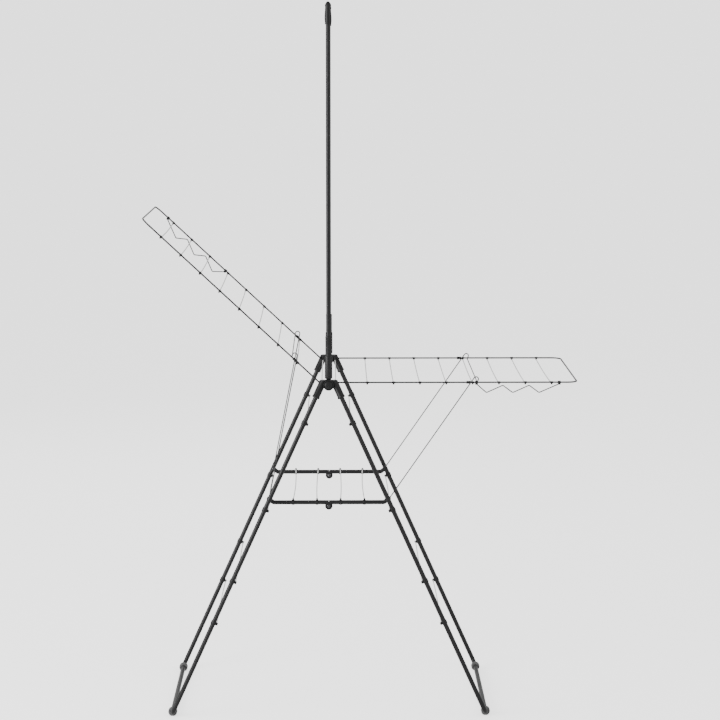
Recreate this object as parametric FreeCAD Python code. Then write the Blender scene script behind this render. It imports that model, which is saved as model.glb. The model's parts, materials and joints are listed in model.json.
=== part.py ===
"""Folding clothes airer with two hinged wings, a folding centre shelf and a lift-out hanging rod.

Units are millimetres. +Z is up, +X is towards the right wing, and the front of the airer faces -Y.
The origin is on the floor, midway between the four feet.

Pieces side by side at a hub or a leg lie in their own layers along Y, so that they can turn past
each other. A layer is given by its distance from the middle plane of the airer, and the helper
functions build it on the front (side -1) and on the rear (side +1).
"""
import FreeCAD, Part
import math
import os

Vector = FreeCAD.Vector
FRONT, REAR = -1, 1
LEFT, RIGHT = -1, 1

# Overall
TOTAL_HEIGHT = 2000.0
LEG_PLANE = 273.0
AXLE_HEIGHT = 949.0
LEG_ANGLE = 24.3
RUNNING_GAP = 0.05
FIT_GAP = 0.02
LAYER_GAP = 0.3
TOOL_REACH = 12.0

# Tubes and wires
TUBE_RADIUS = 6.5
TUBE_WALL = 1.0
RAIL_RADIUS = 2.25
WIRE_RADIUS = 1.5
LINE_RADIUS = 1.4

# Legs: the tube passes LEG_OFFSET beside the axle
LEG_OFFSET = 18.0
RAIL_HEIGHT = 12.0
LEG_BEND = 22.0
LEG_TUBE_START = 11.2
FOOT_RADIUS = 12.6
FOOT_WIDTH = 14.0
FOOT_GAP = 0.5
FLOOR_CUT = 60.0
LEG_LINES = (126.0, 394.0, 617.0, 747.0)
LEG_LINE_INSET = 10.0
LEG_CLIP_LENGTH = 12.0
LEG_CLIP_WALL = 1.7
LEG_LUG_HALF = 3.5
LEG_LUG_DEPTH = 4.0
LEG_LUG_END = 2.6

# Hub and knuckles, with layers measured inwards from the leg plane
AXLE_RADIUS = 4.0
EYE_RADIUS = 13.0
EYE_NEAR = 2.3
EYE_FAR = 8.3
PLATE_HALF = 2.0
DISC_RADIUS = 14.5
RELIEF_RADIUS = 15.3
SLEEVE_RADIUS = 10.0
SLEEVE_TOP = -8.0
SLEEVE_BOTTOM = 44.0
SLEEVE_RIM = 4.0
SLEEVE_RIM_STEP = 0.7
SLEEVE_ROUND = 3.5
CAP_START = 10.4
CAP_THICK = 5.5
CAP_ROUND = 4.0
WASHER_RADIUS = 7.0
WASHER_THICK = 2.0
AXLE_TAIL = 0.4
NECK_WIDTH = 14.0
NECK_TOP = 970.0
SOCKET_RADIUS = 10.5
SOCKET_BOTTOM = 966.0
SOCKET_TOP = 1030.0
SOCKET_ROUND = 3.0
COLLAR_RADIUS = 9.0
COLLAR_ROUND = 1.6
COLLAR_TOP = 1085.0
ROD_FOOT = 976.0
HUB_LINE = (15.5, 9.5)

# Hanging rod, with the elbow's outline as radius and depth below its top
ELBOW_OUTLINE = ((8.5, 62.0), (9.6, 45.0), (8.4, 25.0), (7.0, 9.0), (0.0, 0.0))
ELBOW_ARM = 38.0
ARM_ROOT_RADIUS = 6.6
ARM_MOUTH_RADIUS = 8.6
UPRIGHT_SEAT = 26.0
TOP_ROD_SEAT = 12.0
TOP_ROD_DROP = 10.5

# Wings: pivot in the knuckles, rails in their own layer
WING_PIVOT = (25.0, 6.0)
WING_LAYER = 259.5
WING_LENGTH = 666.0
WING_CORNER = 28.0
WING_RAISED = 43.0
PIVOT_BEND = 3.6
PIVOT_PIN_END = 268.6
LINE_COUNT = 8
FIRST_LINE = 82.0
LINE_PITCH = 73.2
LINE_DROP = 4.0
CLIP_RADIUS = 3.9
CLIP_LENGTH = 10.0
LUG_FACE = 255.2
LUG_SHARE = 0.6
LUG_COVER = 1.5
LUG_HEIGHT = 4.2
LUG_LOW = 2.2
HANGER_START = 385.5
HANGER_REACH = 230.0
HANGER_PITCH = 73.2
HANGER_STEEP = 27.5
HANGER_LOW = -29.0
HANGER_HIGH = -8.5
HANGER_BEND = 5.0
HANGER_TEETH = 3
HANGER_END_GAP = 0.7
HANGER_CLIP_RADIUS = 4.2
HANGER_CLIP_LENGTH = 10.0
HANGER_PAD_WIDTH = 6.4
HANGER_PAD_HEIGHT = 6.0
HANGER_PAD_DROP = 4.4

# Stays: wire loops from the legs to the wings
STAY_LAYER = 251.8
STAY_PIVOT_DOWN = 366.5
STAY_EYE_RADIUS = 5.5
STAY_PIN_RADIUS = 2.5
PIN_HEAD_RADIUS = 4.5
PIN_HEAD_THICK = 2.0
PIN_SEAT = 5.6
STAY_RISE = 20.5
HOOK_WIDTH = 13.0
HOOK_END = 9.0
HOOK_CORNER = 4.0
STAY_REACH_LEFT = 88.5
STAY_REACH_RIGHT = 371.5
CATCH_LENGTH = 12.0
CATCH_RADIUS = 4.2
CATCH_END_LEFT = 99.6
CATCH_END_RIGHT = 369.4

# Shelf: two half bars a side, hinged below their middle
BAR_LAYER = 240.5
BAR_RADIUS = 6.0
BAR_DROP = 10.0
BAR_BEND = 8.0
BAR_INSET = 12.0
BAR_GAP = 0.3
BAR_EYE_RADIUS = 6.8
BAR_EYE_HALF = 5.7
BARREL_RADIUS = 10.5
BARREL_DROP = 10.0
BARREL_NEAR = 0.3
BARREL_FAR = 5.6
BARREL_RELIEF = 10.9
HINGE_HEAD_THICK = 1.6
SHELF_LINES = (33.0, 99.7)
SHELF_CLIP_RADIUS = 7.4
SHELF_CLIP_LENGTH = 7.0
SHELF_LINE_RISE = 8.1
SHELF_LUG = (5.0, 8.0, 4.4)
SHELF_LUG_RISE = 0.4


def cylinder(radius, start, end):
    """A round bar from one point to another."""
    axis = end - start
    return Part.makeCylinder(radius, axis.Length, start, axis)


def ring(outer, inner, start, end):
    """A round collar with a bore."""
    return cylinder(outer, start, end).cut(cylinder(inner, start, end))


def rounded_path(points, radii):
    """Straight runs through the points, with a tangent arc at each inner point."""
    edges = []
    here = points[0]
    for before, corner, after, radius in zip(points, points[1:], points[2:], radii):
        back = (before - corner).normalize()
        ahead = (after - corner).normalize()
        half = back.getAngle(ahead) / 2
        reach = radius / math.tan(half)
        middle = (back + ahead).normalize()
        arc_start = corner + back * reach
        arc_end = corner + ahead * reach
        arc_mid = corner + middle * (radius / math.sin(half) - radius)
        if (arc_start - here).Length > 1e-6:
            edges.append(Part.LineSegment(here, arc_start).toShape())
        edges.append(Part.Arc(arc_start, arc_mid, arc_end).toShape())
        here = arc_end
    edges.append(Part.LineSegment(here, points[-1]).toShape())
    return Part.Wire(edges)


def swept(points, radii, radius):
    """A round bar or wire bent along a rounded path."""
    path = rounded_path(points, radii)
    direction = points[1] - points[0]
    profile = Part.Wire(Part.makeCircle(radius, points[0], direction))
    return path.makePipeShell([profile], True, True)


def bent_tube(points, radii):
    """A bent tube with its wall thickness, open at both ends."""
    outside = swept(points, radii, TUBE_RADIUS)
    inside = swept(points, radii, TUBE_RADIUS - TUBE_WALL)
    return outside.cut(inside)


def straight_tube(start, end):
    """A straight length of the frame tube."""
    return ring(TUBE_RADIUS, TUBE_RADIUS - TUBE_WALL, start, end)


def on_leg(across, down, layer, hand):
    """A point given beside and along a leg, measured from the axle.

    across is the distance outwards from the axle at right angles to the leg, down is the distance
    towards the foot, layer is the Y position and hand is LEFT or RIGHT.
    """
    angle = math.radians(LEG_ANGLE)
    x = across * math.cos(angle) + down * math.sin(angle)
    z = AXLE_HEIGHT + across * math.sin(angle) - down * math.cos(angle)
    return Vector(hand * x, layer, z)


def leg_length():
    """Distance down the leg from the axle's level to the middle of the bottom rail."""
    angle = math.radians(LEG_ANGLE)
    drop = AXLE_HEIGHT - RAIL_HEIGHT + LEG_OFFSET * math.sin(angle)
    return drop / math.cos(angle)


def leg_box(across, down, layer, hand):
    """A block with its edges along the leg, from pairs of limits in the leg's own directions."""
    corner = on_leg(across[0], down[0], layer[0], hand)
    along_across = on_leg(across[1], down[0], layer[0], hand) - corner
    along_down = on_leg(across[0], down[1], layer[0], hand) - corner
    outline = Part.makePolygon([
        corner,
        corner + along_across,
        corner + along_across + along_down,
        corner + along_down,
        corner,
    ])
    return Part.Face(outline).extrude(Vector(0, layer[1] - layer[0], 0))


def inward(depth, side):
    """The Y position of a layer that lies depth inside the leg plane."""
    return side * (LEG_PLANE - depth)


def axle_cylinder(radius, depths, side):
    """A round piece on the hub's axle between two depths inside the leg plane."""
    return cylinder(
        radius,
        Vector(0, inward(depths[0], side), AXLE_HEIGHT),
        Vector(0, inward(depths[1], side), AXLE_HEIGHT),
    )


# Hubs, which hold the hanging rod and carry both legs

def make_hub(side):
    """The hub: a plate on the axle, a neck, and the socket for the hanging rod."""
    plane = side * LEG_PLANE
    plate = axle_cylinder(DISC_RADIUS, (-PLATE_HALF, PLATE_HALF), side)
    neck = Part.makeBox(
        NECK_WIDTH, 2 * PLATE_HALF, NECK_TOP - AXLE_HEIGHT,
        Vector(-NECK_WIDTH / 2, plane - PLATE_HALF, AXLE_HEIGHT),
    )
    socket = cylinder(
        SOCKET_RADIUS, Vector(0, plane, SOCKET_BOTTOM), Vector(0, plane, SOCKET_TOP)
    )
    socket = socket.makeFillet(SOCKET_ROUND, [socket.Edges[2]])
    bore = cylinder(
        TUBE_RADIUS + RUNNING_GAP, Vector(0, plane, ROD_FOOT), Vector(0, plane, SOCKET_TOP)
    )
    hole = axle_cylinder(AXLE_RADIUS + FIT_GAP, (-PLATE_HALF, PLATE_HALF), side)
    return plate.fuse([neck, socket]).cut(bore).cut(hole).removeSplitter()


def make_rod_collar(side):
    """The slimmer collar above the socket that guides the rod."""
    plane = side * LEG_PLANE
    collar = cylinder(
        COLLAR_RADIUS, Vector(0, plane, SOCKET_TOP), Vector(0, plane, COLLAR_TOP)
    )
    collar = collar.makeFillet(COLLAR_ROUND, [collar.Edges[0]])
    bore = cylinder(
        TUBE_RADIUS + RUNNING_GAP,
        Vector(0, plane, SOCKET_TOP), Vector(0, plane, COLLAR_TOP),
    )
    return collar.cut(bore)


def make_axle(side):
    """The hub's axle with its inner retaining washer."""
    washer_end = CAP_START + WASHER_THICK
    pin = axle_cylinder(AXLE_RADIUS, (-CAP_START, washer_end + AXLE_TAIL), side)
    washer = axle_cylinder(WASHER_RADIUS, (CAP_START, washer_end), side)
    return pin.fuse(washer).removeSplitter()


def make_axle_cap(side):
    """The domed cover over the outer end of the axle."""
    outer_depth = -CAP_START - CAP_THICK
    cap = axle_cylinder(DISC_RADIUS, (-CAP_START, outer_depth), side)
    outer_y = inward(outer_depth, side)
    outer_rim = [edge for edge in cap.Edges if abs(edge.CenterOfMass.y - outer_y) < 0.01]
    return cap.makeFillet(CAP_ROUND, outer_rim)


# Hanging rod, an inverted U that lifts out of the two hubs

def make_upright(side):
    """One upright of the hanging rod."""
    plane = side * LEG_PLANE
    top = TOTAL_HEIGHT - UPRIGHT_SEAT
    return straight_tube(Vector(0, plane, ROD_FOOT), Vector(0, plane, top))


def make_elbow(side):
    """The moulded corner of the hanging rod: a pear-shaped socket with a short arm."""
    plane = side * LEG_PLANE
    points = [Vector(radius, 0, TOTAL_HEIGHT - depth) for radius, depth in ELBOW_OUTLINE]
    outline = Part.BSplineCurve()
    outline.interpolate(points)
    base = Vector(0, 0, points[0].z)
    profile = Part.Wire([
        Part.LineSegment(base, points[0]).toShape(),
        outline.toShape(),
        Part.LineSegment(points[-1], base).toShape(),
    ])
    body = Part.Face(profile).revolve(Vector(0, 0, 0), Vector(0, 0, 1), 360)
    body.translate(Vector(0, plane, 0))
    axis = TOTAL_HEIGHT - TOP_ROD_DROP
    arm_end = Vector(0, plane - side * ELBOW_ARM, axis)
    arm = Part.makeCone(
        ARM_ROOT_RADIUS, ARM_MOUTH_RADIUS, ELBOW_ARM, Vector(0, plane, axis), Vector(0, -side, 0)
    )
    upright_bore = cylinder(
        TUBE_RADIUS + RUNNING_GAP,
        base + Vector(0, plane, 0), Vector(0, plane, TOTAL_HEIGHT - UPRIGHT_SEAT),
    )
    rod_bore = cylinder(
        TUBE_RADIUS + RUNNING_GAP,
        arm_end, Vector(0, plane - side * TOP_ROD_SEAT, axis),
    )
    return body.fuse(arm).cut(upright_bore).cut(rod_bore).removeSplitter()


def make_top_rod():
    """The horizontal rod between the two corners."""
    reach = LEG_PLANE - TOP_ROD_SEAT
    axis = TOTAL_HEIGHT - TOP_ROD_DROP
    return straight_tube(Vector(0, -reach, axis), Vector(0, reach, axis))


# Legs

def make_leg_frame(hand):
    """A leg frame: two leg tubes and the bottom rail, bent from one length of tube."""
    foot = leg_length()
    points = [
        on_leg(LEG_OFFSET, LEG_TUBE_START, -LEG_PLANE, hand),
        on_leg(LEG_OFFSET, foot, -LEG_PLANE, hand),
        on_leg(LEG_OFFSET, foot, LEG_PLANE, hand),
        on_leg(LEG_OFFSET, LEG_TUBE_START, LEG_PLANE, hand),
    ]
    frame = bent_tube(points, [LEG_BEND, LEG_BEND])
    for side in (FRONT, REAR):
        hole = cylinder(
            STAY_PIN_RADIUS,
            on_leg(LEG_OFFSET, STAY_PIVOT_DOWN, side * LEG_PLANE, hand),
            on_leg(LEG_OFFSET, STAY_PIVOT_DOWN, side * (LEG_PLANE - TOOL_REACH), hand),
        )
        frame = frame.cut(hole)
    return frame


def make_feet(hand):
    """Two non-slip rings on the bottom rail, flat where they stand on the floor."""
    middle = on_leg(LEG_OFFSET, leg_length(), 0, hand)
    reach = LEG_PLANE - LEG_BEND - FOOT_GAP
    feet = []
    for side in (FRONT, REAR):
        outer = Vector(middle.x, side * reach, middle.z)
        inner = Vector(middle.x, side * (reach - FOOT_WIDTH), middle.z)
        foot = ring(FOOT_RADIUS, TUBE_RADIUS + FIT_GAP, inner, outer)
        corner = outer - Vector(FLOOR_CUT / 2, FLOOR_CUT / 2, middle.z + FLOOR_CUT)
        feet.append(foot.cut(Part.makeBox(FLOOR_CUT, FLOOR_CUT, FLOOR_CUT, corner)))
    return Part.makeCompound(feet)


def make_knuckle(hand, side):
    """The moulded knuckle on top of a leg tube: a sleeve, and an eye that turns on the axle.

    The left eye is inside the hub plate and the right eye outside it, and each sleeve is cut away
    round the axle where the hub plate and the other eye turn.
    """
    plane = side * LEG_PLANE
    start = on_leg(LEG_OFFSET, SLEEVE_TOP, plane, hand)
    rim = on_leg(LEG_OFFSET, SLEEVE_BOTTOM, plane, hand)
    end = on_leg(LEG_OFFSET, SLEEVE_BOTTOM + SLEEVE_RIM, plane, hand)
    sleeve = cylinder(SLEEVE_RADIUS, start, rim)
    sleeve = sleeve.makeFillet(SLEEVE_ROUND, [sleeve.Edges[2]])
    sleeve = sleeve.fuse(cylinder(SLEEVE_RADIUS + SLEEVE_RIM_STEP, rim, end))
    depths = (EYE_NEAR, EYE_FAR) if hand == LEFT else (-EYE_FAR, -EYE_NEAR)
    clear = (-TOOL_REACH, EYE_NEAR) if hand == LEFT else (-EYE_NEAR, TOOL_REACH)
    sleeve = sleeve.cut(axle_cylinder(RELIEF_RADIUS, clear, side))
    eye = axle_cylinder(EYE_RADIUS, depths, side)
    layers = (inward(depths[0], side), inward(depths[1], side))
    web = leg_box((0, LEG_OFFSET), (SLEEVE_TOP + 1, EYE_RADIUS), layers, hand)
    body = sleeve.fuse([eye, web])
    tube_bore = cylinder(
        TUBE_RADIUS + FIT_GAP, on_leg(LEG_OFFSET, LEG_TUBE_START, plane, hand), end
    )
    axle_bore = axle_cylinder(AXLE_RADIUS + RUNNING_GAP, (-TOOL_REACH, TOOL_REACH), side)
    pivot_bore = cylinder(
        RAIL_RADIUS + RUNNING_GAP,
        on_leg(*WING_PIVOT, side * (LEG_PLANE - TOOL_REACH), hand),
        on_leg(*WING_PIVOT, side * (PIVOT_PIN_END + LAYER_GAP), hand),
    )
    return body.cut(tube_bore).cut(axle_bore).cut(pivot_bore).removeSplitter()


def make_leg_clips(hand):
    """The clips on the leg tubes that hold the ends of the leg lines."""
    clips = []
    half = LEG_CLIP_LENGTH / 2
    for down in LEG_LINES:
        for side in (FRONT, REAR):
            plane = side * LEG_PLANE
            collar = ring(
                TUBE_RADIUS + LEG_CLIP_WALL, TUBE_RADIUS + FIT_GAP,
                on_leg(LEG_OFFSET, down - half, plane, hand),
                on_leg(LEG_OFFSET, down + half, plane, hand),
            )
            lug = leg_box(
                (LEG_OFFSET - LEG_LINE_INSET - LEG_LUG_END, LEG_OFFSET - TUBE_RADIUS - 1),
                (down - LEG_LUG_HALF, down + LEG_LUG_HALF),
                (side * (LEG_PLANE - LEG_LUG_DEPTH), side * (LEG_PLANE + LEG_LUG_DEPTH)), hand,
            )
            clips.append(collar.fuse(lug).removeSplitter())
    return Part.makeCompound(clips)


def make_leg_lines(hand):
    """The drying lines between the two tubes of a leg frame, and the one between the knuckles."""
    lines = []
    across = LEG_OFFSET - LEG_LINE_INSET
    reach = LEG_PLANE - LEG_LUG_DEPTH
    for down in LEG_LINES:
        lines.append(cylinder(
            LINE_RADIUS, on_leg(across, down, -reach, hand), on_leg(across, down, reach, hand)
        ))
    reach = LEG_PLANE - SLEEVE_RADIUS
    lines.append(cylinder(
        LINE_RADIUS, on_leg(*HUB_LINE, -reach, hand), on_leg(*HUB_LINE, reach, hand)
    ))
    return Part.makeCompound(lines)


def make_leg_pins(hand):
    """The pins on the inside of the leg tubes for the stay, and on the left for the shelf bar too."""
    pins = []
    inner_face = BAR_LAYER - BAR_RADIUS if hand == LEFT else STAY_LAYER - WIRE_RADIUS
    head = (inner_face - LAYER_GAP, inner_face - LAYER_GAP - PIN_HEAD_THICK)
    for side in (FRONT, REAR):
        shank = cylinder(
            STAY_PIN_RADIUS,
            on_leg(LEG_OFFSET, STAY_PIVOT_DOWN, side * (LEG_PLANE - PIN_SEAT), hand),
            on_leg(LEG_OFFSET, STAY_PIVOT_DOWN, side * head[0], hand),
        )
        spacer = cylinder(
            PIN_HEAD_RADIUS,
            on_leg(LEG_OFFSET, STAY_PIVOT_DOWN, side * (LEG_PLANE - TUBE_RADIUS), hand),
            on_leg(LEG_OFFSET, STAY_PIVOT_DOWN, side * (STAY_LAYER + WIRE_RADIUS + LAYER_GAP), hand),
        )
        button = cylinder(
            PIN_HEAD_RADIUS,
            on_leg(LEG_OFFSET, STAY_PIVOT_DOWN, side * head[0], hand),
            on_leg(LEG_OFFSET, STAY_PIVOT_DOWN, side * head[1], hand),
        )
        pins.append(shank.fuse([spacer, button]).removeSplitter())
    return Part.makeCompound(pins)


# Shelf bars, which lock the legs open and fold upwards at their middle

def bar_pivot(side, hand):
    """The point where a shelf bar is pinned to its leg."""
    return on_leg(LEG_OFFSET, STAY_PIVOT_DOWN, side * BAR_LAYER, hand)


def barrel_axis(side):
    """The middle of a shelf hinge, below the bars."""
    return Vector(0, side * BAR_LAYER, bar_pivot(side, LEFT).z - BAR_DROP - BARREL_DROP)


def barrel_layers(hand):
    """The layer of each half's hinge barrel: the left half is the outer one."""
    if hand == LEFT:
        return BAR_LAYER + BARREL_NEAR, BAR_LAYER + BARREL_FAR
    return BAR_LAYER - BARREL_FAR, BAR_LAYER - BARREL_NEAR


def make_shelf_bar(hand, side):
    """One half bar: it hangs from its leg pin, and carries half of the middle hinge."""
    pivot = bar_pivot(side, hand)
    middle = barrel_axis(side)
    bar_height = pivot.z - BAR_DROP
    points = [
        pivot,
        Vector(pivot.x - hand * BAR_INSET, pivot.y, bar_height),
        Vector(hand * BAR_GAP, pivot.y, bar_height),
    ]
    bar = swept(points, [BAR_BEND], BAR_RADIUS)
    eye_half = Vector(0, BAR_EYE_HALF, 0)
    bar = bar.fuse(cylinder(BAR_EYE_RADIUS, pivot - eye_half, pivot + eye_half))
    near, far = barrel_layers(hand)
    other_near, other_far = barrel_layers(-hand)
    clear = cylinder(
        BARREL_RELIEF,
        Vector(0, side * (other_near - LAYER_GAP), middle.z),
        Vector(0, side * (other_far + LAYER_GAP), middle.z),
    )
    barrel = cylinder(
        BARREL_RADIUS, Vector(0, side * near, middle.z), Vector(0, side * far, middle.z)
    )
    through = Vector(0, TOOL_REACH, 0)
    bore_radius = STAY_PIN_RADIUS + RUNNING_GAP
    pin_bore = cylinder(bore_radius, pivot - through, pivot + through)
    hinge_bore = cylinder(bore_radius, middle - through, middle + through)
    return bar.cut(clear).fuse(barrel).cut(pin_bore).cut(hinge_bore).removeSplitter()


def make_hinge_pins():
    """The pins of the two shelf hinges, with a head at each end."""
    pins = []
    for side in (FRONT, REAR):
        middle = barrel_axis(side)
        reach = Vector(0, BAR_RADIUS + LAYER_GAP, 0)
        head = Vector(0, HINGE_HEAD_THICK, 0)
        low = middle - reach
        high = middle + reach
        shank = cylinder(STAY_PIN_RADIUS, low, high)
        heads = [
            cylinder(PIN_HEAD_RADIUS, high, high + head),
            cylinder(PIN_HEAD_RADIUS, low, low - head),
        ]
        pins.append(shank.fuse(heads).removeSplitter())
    return Part.makeCompound(pins)


def make_shelf_clips(hand):
    """Collars on the half bars that hold the ends of the shelf lines."""
    clips = []
    half = SHELF_CLIP_LENGTH / 2
    for distance in SHELF_LINES:
        for side in (FRONT, REAR):
            height = bar_pivot(side, hand).z - BAR_DROP
            x = hand * distance
            y = side * BAR_LAYER
            collar = ring(
                SHELF_CLIP_RADIUS, BAR_RADIUS + FIT_GAP,
                Vector(x - half, y, height), Vector(x + half, y, height),
            )
            width, depth, _ = SHELF_LUG
            lug_foot = height + BAR_RADIUS + SHELF_LUG_RISE
            lug = Part.makeBox(*SHELF_LUG, Vector(x - width / 2, y - depth / 2, lug_foot))
            clips.append(collar.fuse(lug).removeSplitter())
    return Part.makeCompound(clips)


def make_shelf_lines(hand):
    """The drying lines between the front and rear half bars."""
    lines = []
    reach = BAR_LAYER - SHELF_LUG[1] / 2
    height = bar_pivot(FRONT, hand).z - BAR_DROP + SHELF_LINE_RISE
    for distance in SHELF_LINES:
        x = hand * distance
        lines.append(cylinder(LINE_RADIUS, Vector(x, -reach, height), Vector(x, reach, height)))
    return Part.makeCompound(lines)


# Wings, built flat and reaching along +X from their pivot, then placed

def place_wing(shape, hand):
    """Put a wing piece where it rests: the right wing level, the left wing turned and raised."""
    placed = shape.copy()
    if hand == LEFT:
        placed.rotate(Vector(0, 0, 0), Vector(0, 0, 1), 180)
        placed.rotate(Vector(0, 0, 0), Vector(0, 1, 0), WING_RAISED)
    placed.translate(on_leg(*WING_PIVOT, 0, hand))
    return placed


def make_wing_frame():
    """The wing's wire frame, with its inner ends turned outwards into the knuckles."""
    points = [
        Vector(0, -PIVOT_PIN_END, 0),
        Vector(0, -WING_LAYER, 0),
        Vector(WING_LENGTH, -WING_LAYER, 0),
        Vector(WING_LENGTH, WING_LAYER, 0),
        Vector(0, WING_LAYER, 0),
        Vector(0, PIVOT_PIN_END, 0),
    ]
    return swept(points, [PIVOT_BEND, WING_CORNER, WING_CORNER, PIVOT_BEND], RAIL_RADIUS)


def rail_clip(reach, side, length):
    """A clip on a wing rail: a collar with a lug on its lower inner side."""
    collar = ring(
        CLIP_RADIUS, RAIL_RADIUS + FIT_GAP,
        Vector(reach - length / 2, side * WING_LAYER, 0),
        Vector(reach + length / 2, side * WING_LAYER, 0),
    )
    width = length * LUG_SHARE
    near = side * LUG_FACE
    far = side * (WING_LAYER + LUG_COVER)
    lug = Part.makeBox(
        width, abs(far - near), LUG_HEIGHT,
        Vector(reach - width / 2, min(near, far), -LINE_DROP - LUG_LOW),
    )
    bore = cylinder(
        RAIL_RADIUS + FIT_GAP,
        Vector(reach - length, side * WING_LAYER, 0), Vector(reach + length, side * WING_LAYER, 0),
    )
    return collar.fuse(lug).cut(bore).removeSplitter()


def line_reach(index):
    """The distance of a wing line from the wing's pivot."""
    return FIRST_LINE + LINE_PITCH * index


def make_wing_clips():
    """The clips that hold the wing lines, eight on each rail."""
    clips = []
    for index in range(LINE_COUNT):
        for side in (FRONT, REAR):
            clips.append(rail_clip(line_reach(index), side, CLIP_LENGTH))
    return Part.makeCompound(clips)


def make_wing_lines():
    """The drying lines between the two rails of a wing."""
    lines = []
    for index in range(LINE_COUNT):
        reach = line_reach(index)
        lines.append(cylinder(
            LINE_RADIUS, Vector(reach, -LUG_FACE, -LINE_DROP), Vector(reach, LUG_FACE, -LINE_DROP)
        ))
    return Part.makeCompound(lines)


def make_hanger_wire():
    """The saw-toothed wire below the front rail that keeps clothes hangers apart."""
    heights = [-RAIL_RADIUS - WIRE_RADIUS - HANGER_END_GAP]
    reaches = [HANGER_START]
    for tooth in range(HANGER_TEETH):
        start = HANGER_START + tooth * HANGER_PITCH
        reaches.append(start + HANGER_STEEP)
        heights.append(HANGER_LOW)
        if tooth < HANGER_TEETH - 1:
            reaches.append(start + HANGER_PITCH)
            heights.append(HANGER_HIGH)
    reaches.append(HANGER_START + HANGER_REACH)
    heights.append(heights[0])
    points = [Vector(x, -WING_LAYER, z) for x, z in zip(reaches, heights)]
    return swept(points, [HANGER_BEND] * (len(points) - 2), WIRE_RADIUS)


def make_hanger_clips():
    """The two moulded clips that hold the ends of the hanger wire to the rail."""
    wire = make_hanger_wire()
    clips = []
    for reach in (HANGER_START, HANGER_START + HANGER_REACH):
        start = Vector(reach - HANGER_CLIP_LENGTH / 2, -WING_LAYER, 0)
        end = Vector(reach + HANGER_CLIP_LENGTH / 2, -WING_LAYER, 0)
        shell = cylinder(HANGER_CLIP_RADIUS, start, end)
        pad = Part.makeBox(
            HANGER_CLIP_LENGTH, HANGER_PAD_WIDTH, HANGER_PAD_HEIGHT,
            start - Vector(0, HANGER_PAD_WIDTH / 2, RAIL_RADIUS + HANGER_PAD_DROP),
        )
        bore = cylinder(RAIL_RADIUS + FIT_GAP, start, end)
        clips.append(shell.fuse(pad).cut(bore).cut(wire).removeSplitter())
    return Part.makeCompound(clips)


def make_catches(reach):
    """The two catches on the rails beside the place where the stay passes the wing."""
    catches = []
    for side in (FRONT, REAR):
        start = Vector(reach - CATCH_LENGTH, side * WING_LAYER, 0)
        end = Vector(reach, side * WING_LAYER, 0)
        catches.append(ring(CATCH_RADIUS, RAIL_RADIUS + FIT_GAP, start, end))
    return Part.makeCompound(catches)


# Stays

def stay_crossing(hand):
    """The point in the middle plane where a stay passes its wing at rest."""
    wing = on_leg(*WING_PIVOT, 0, hand)
    tilt = math.radians(WING_RAISED) if hand == LEFT else 0.0
    reach = STAY_REACH_LEFT if hand == LEFT else STAY_REACH_RIGHT
    return wing + Vector(hand * reach * math.cos(tilt), 0, reach * math.sin(tilt))


def make_stay(hand):
    """A stay: a wire loop with an eye at each foot and a hook over the wing at each corner.

    It is built standing on its pivot, hooked towards +X, and then turned to its wing.
    """
    pivot = on_leg(LEG_OFFSET, STAY_PIVOT_DOWN, 0, hand)
    towards = stay_crossing(hand) - pivot
    stages = [
        (STAY_EYE_RADIUS - WIRE_RADIUS, 0.0),
        (towards.Length + STAY_RISE, 0.0),
        (towards.Length + STAY_RISE, HOOK_WIDTH),
        (towards.Length + HOOK_END, HOOK_WIDTH),
    ]
    front = [Vector(out, -STAY_LAYER, up) for up, out in stages]
    rear = [Vector(out, STAY_LAYER, up) for up, out in reversed(stages)]
    arch = HOOK_WIDTH / 2 - FIT_GAP
    hook = [arch, arch, HOOK_CORNER]
    stay = swept(front + rear, hook + hook[::-1], WIRE_RADIUS)
    for side in (FRONT, REAR):
        start = Vector(0, side * (STAY_LAYER - WIRE_RADIUS), 0)
        end = Vector(0, side * (STAY_LAYER + WIRE_RADIUS), 0)
        stay = stay.fuse(cylinder(STAY_EYE_RADIUS, start, end))
        stay = stay.cut(cylinder(STAY_PIN_RADIUS + RUNNING_GAP, start, end))
    if hand == LEFT:
        stay.rotate(Vector(0, 0, 0), Vector(0, 0, 1), 180)
    lean = math.degrees(math.atan2(towards.x, towards.z))
    stay.rotate(Vector(0, 0, 0), Vector(0, 1, 0), lean)
    stay.translate(pivot)
    return stay


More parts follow.
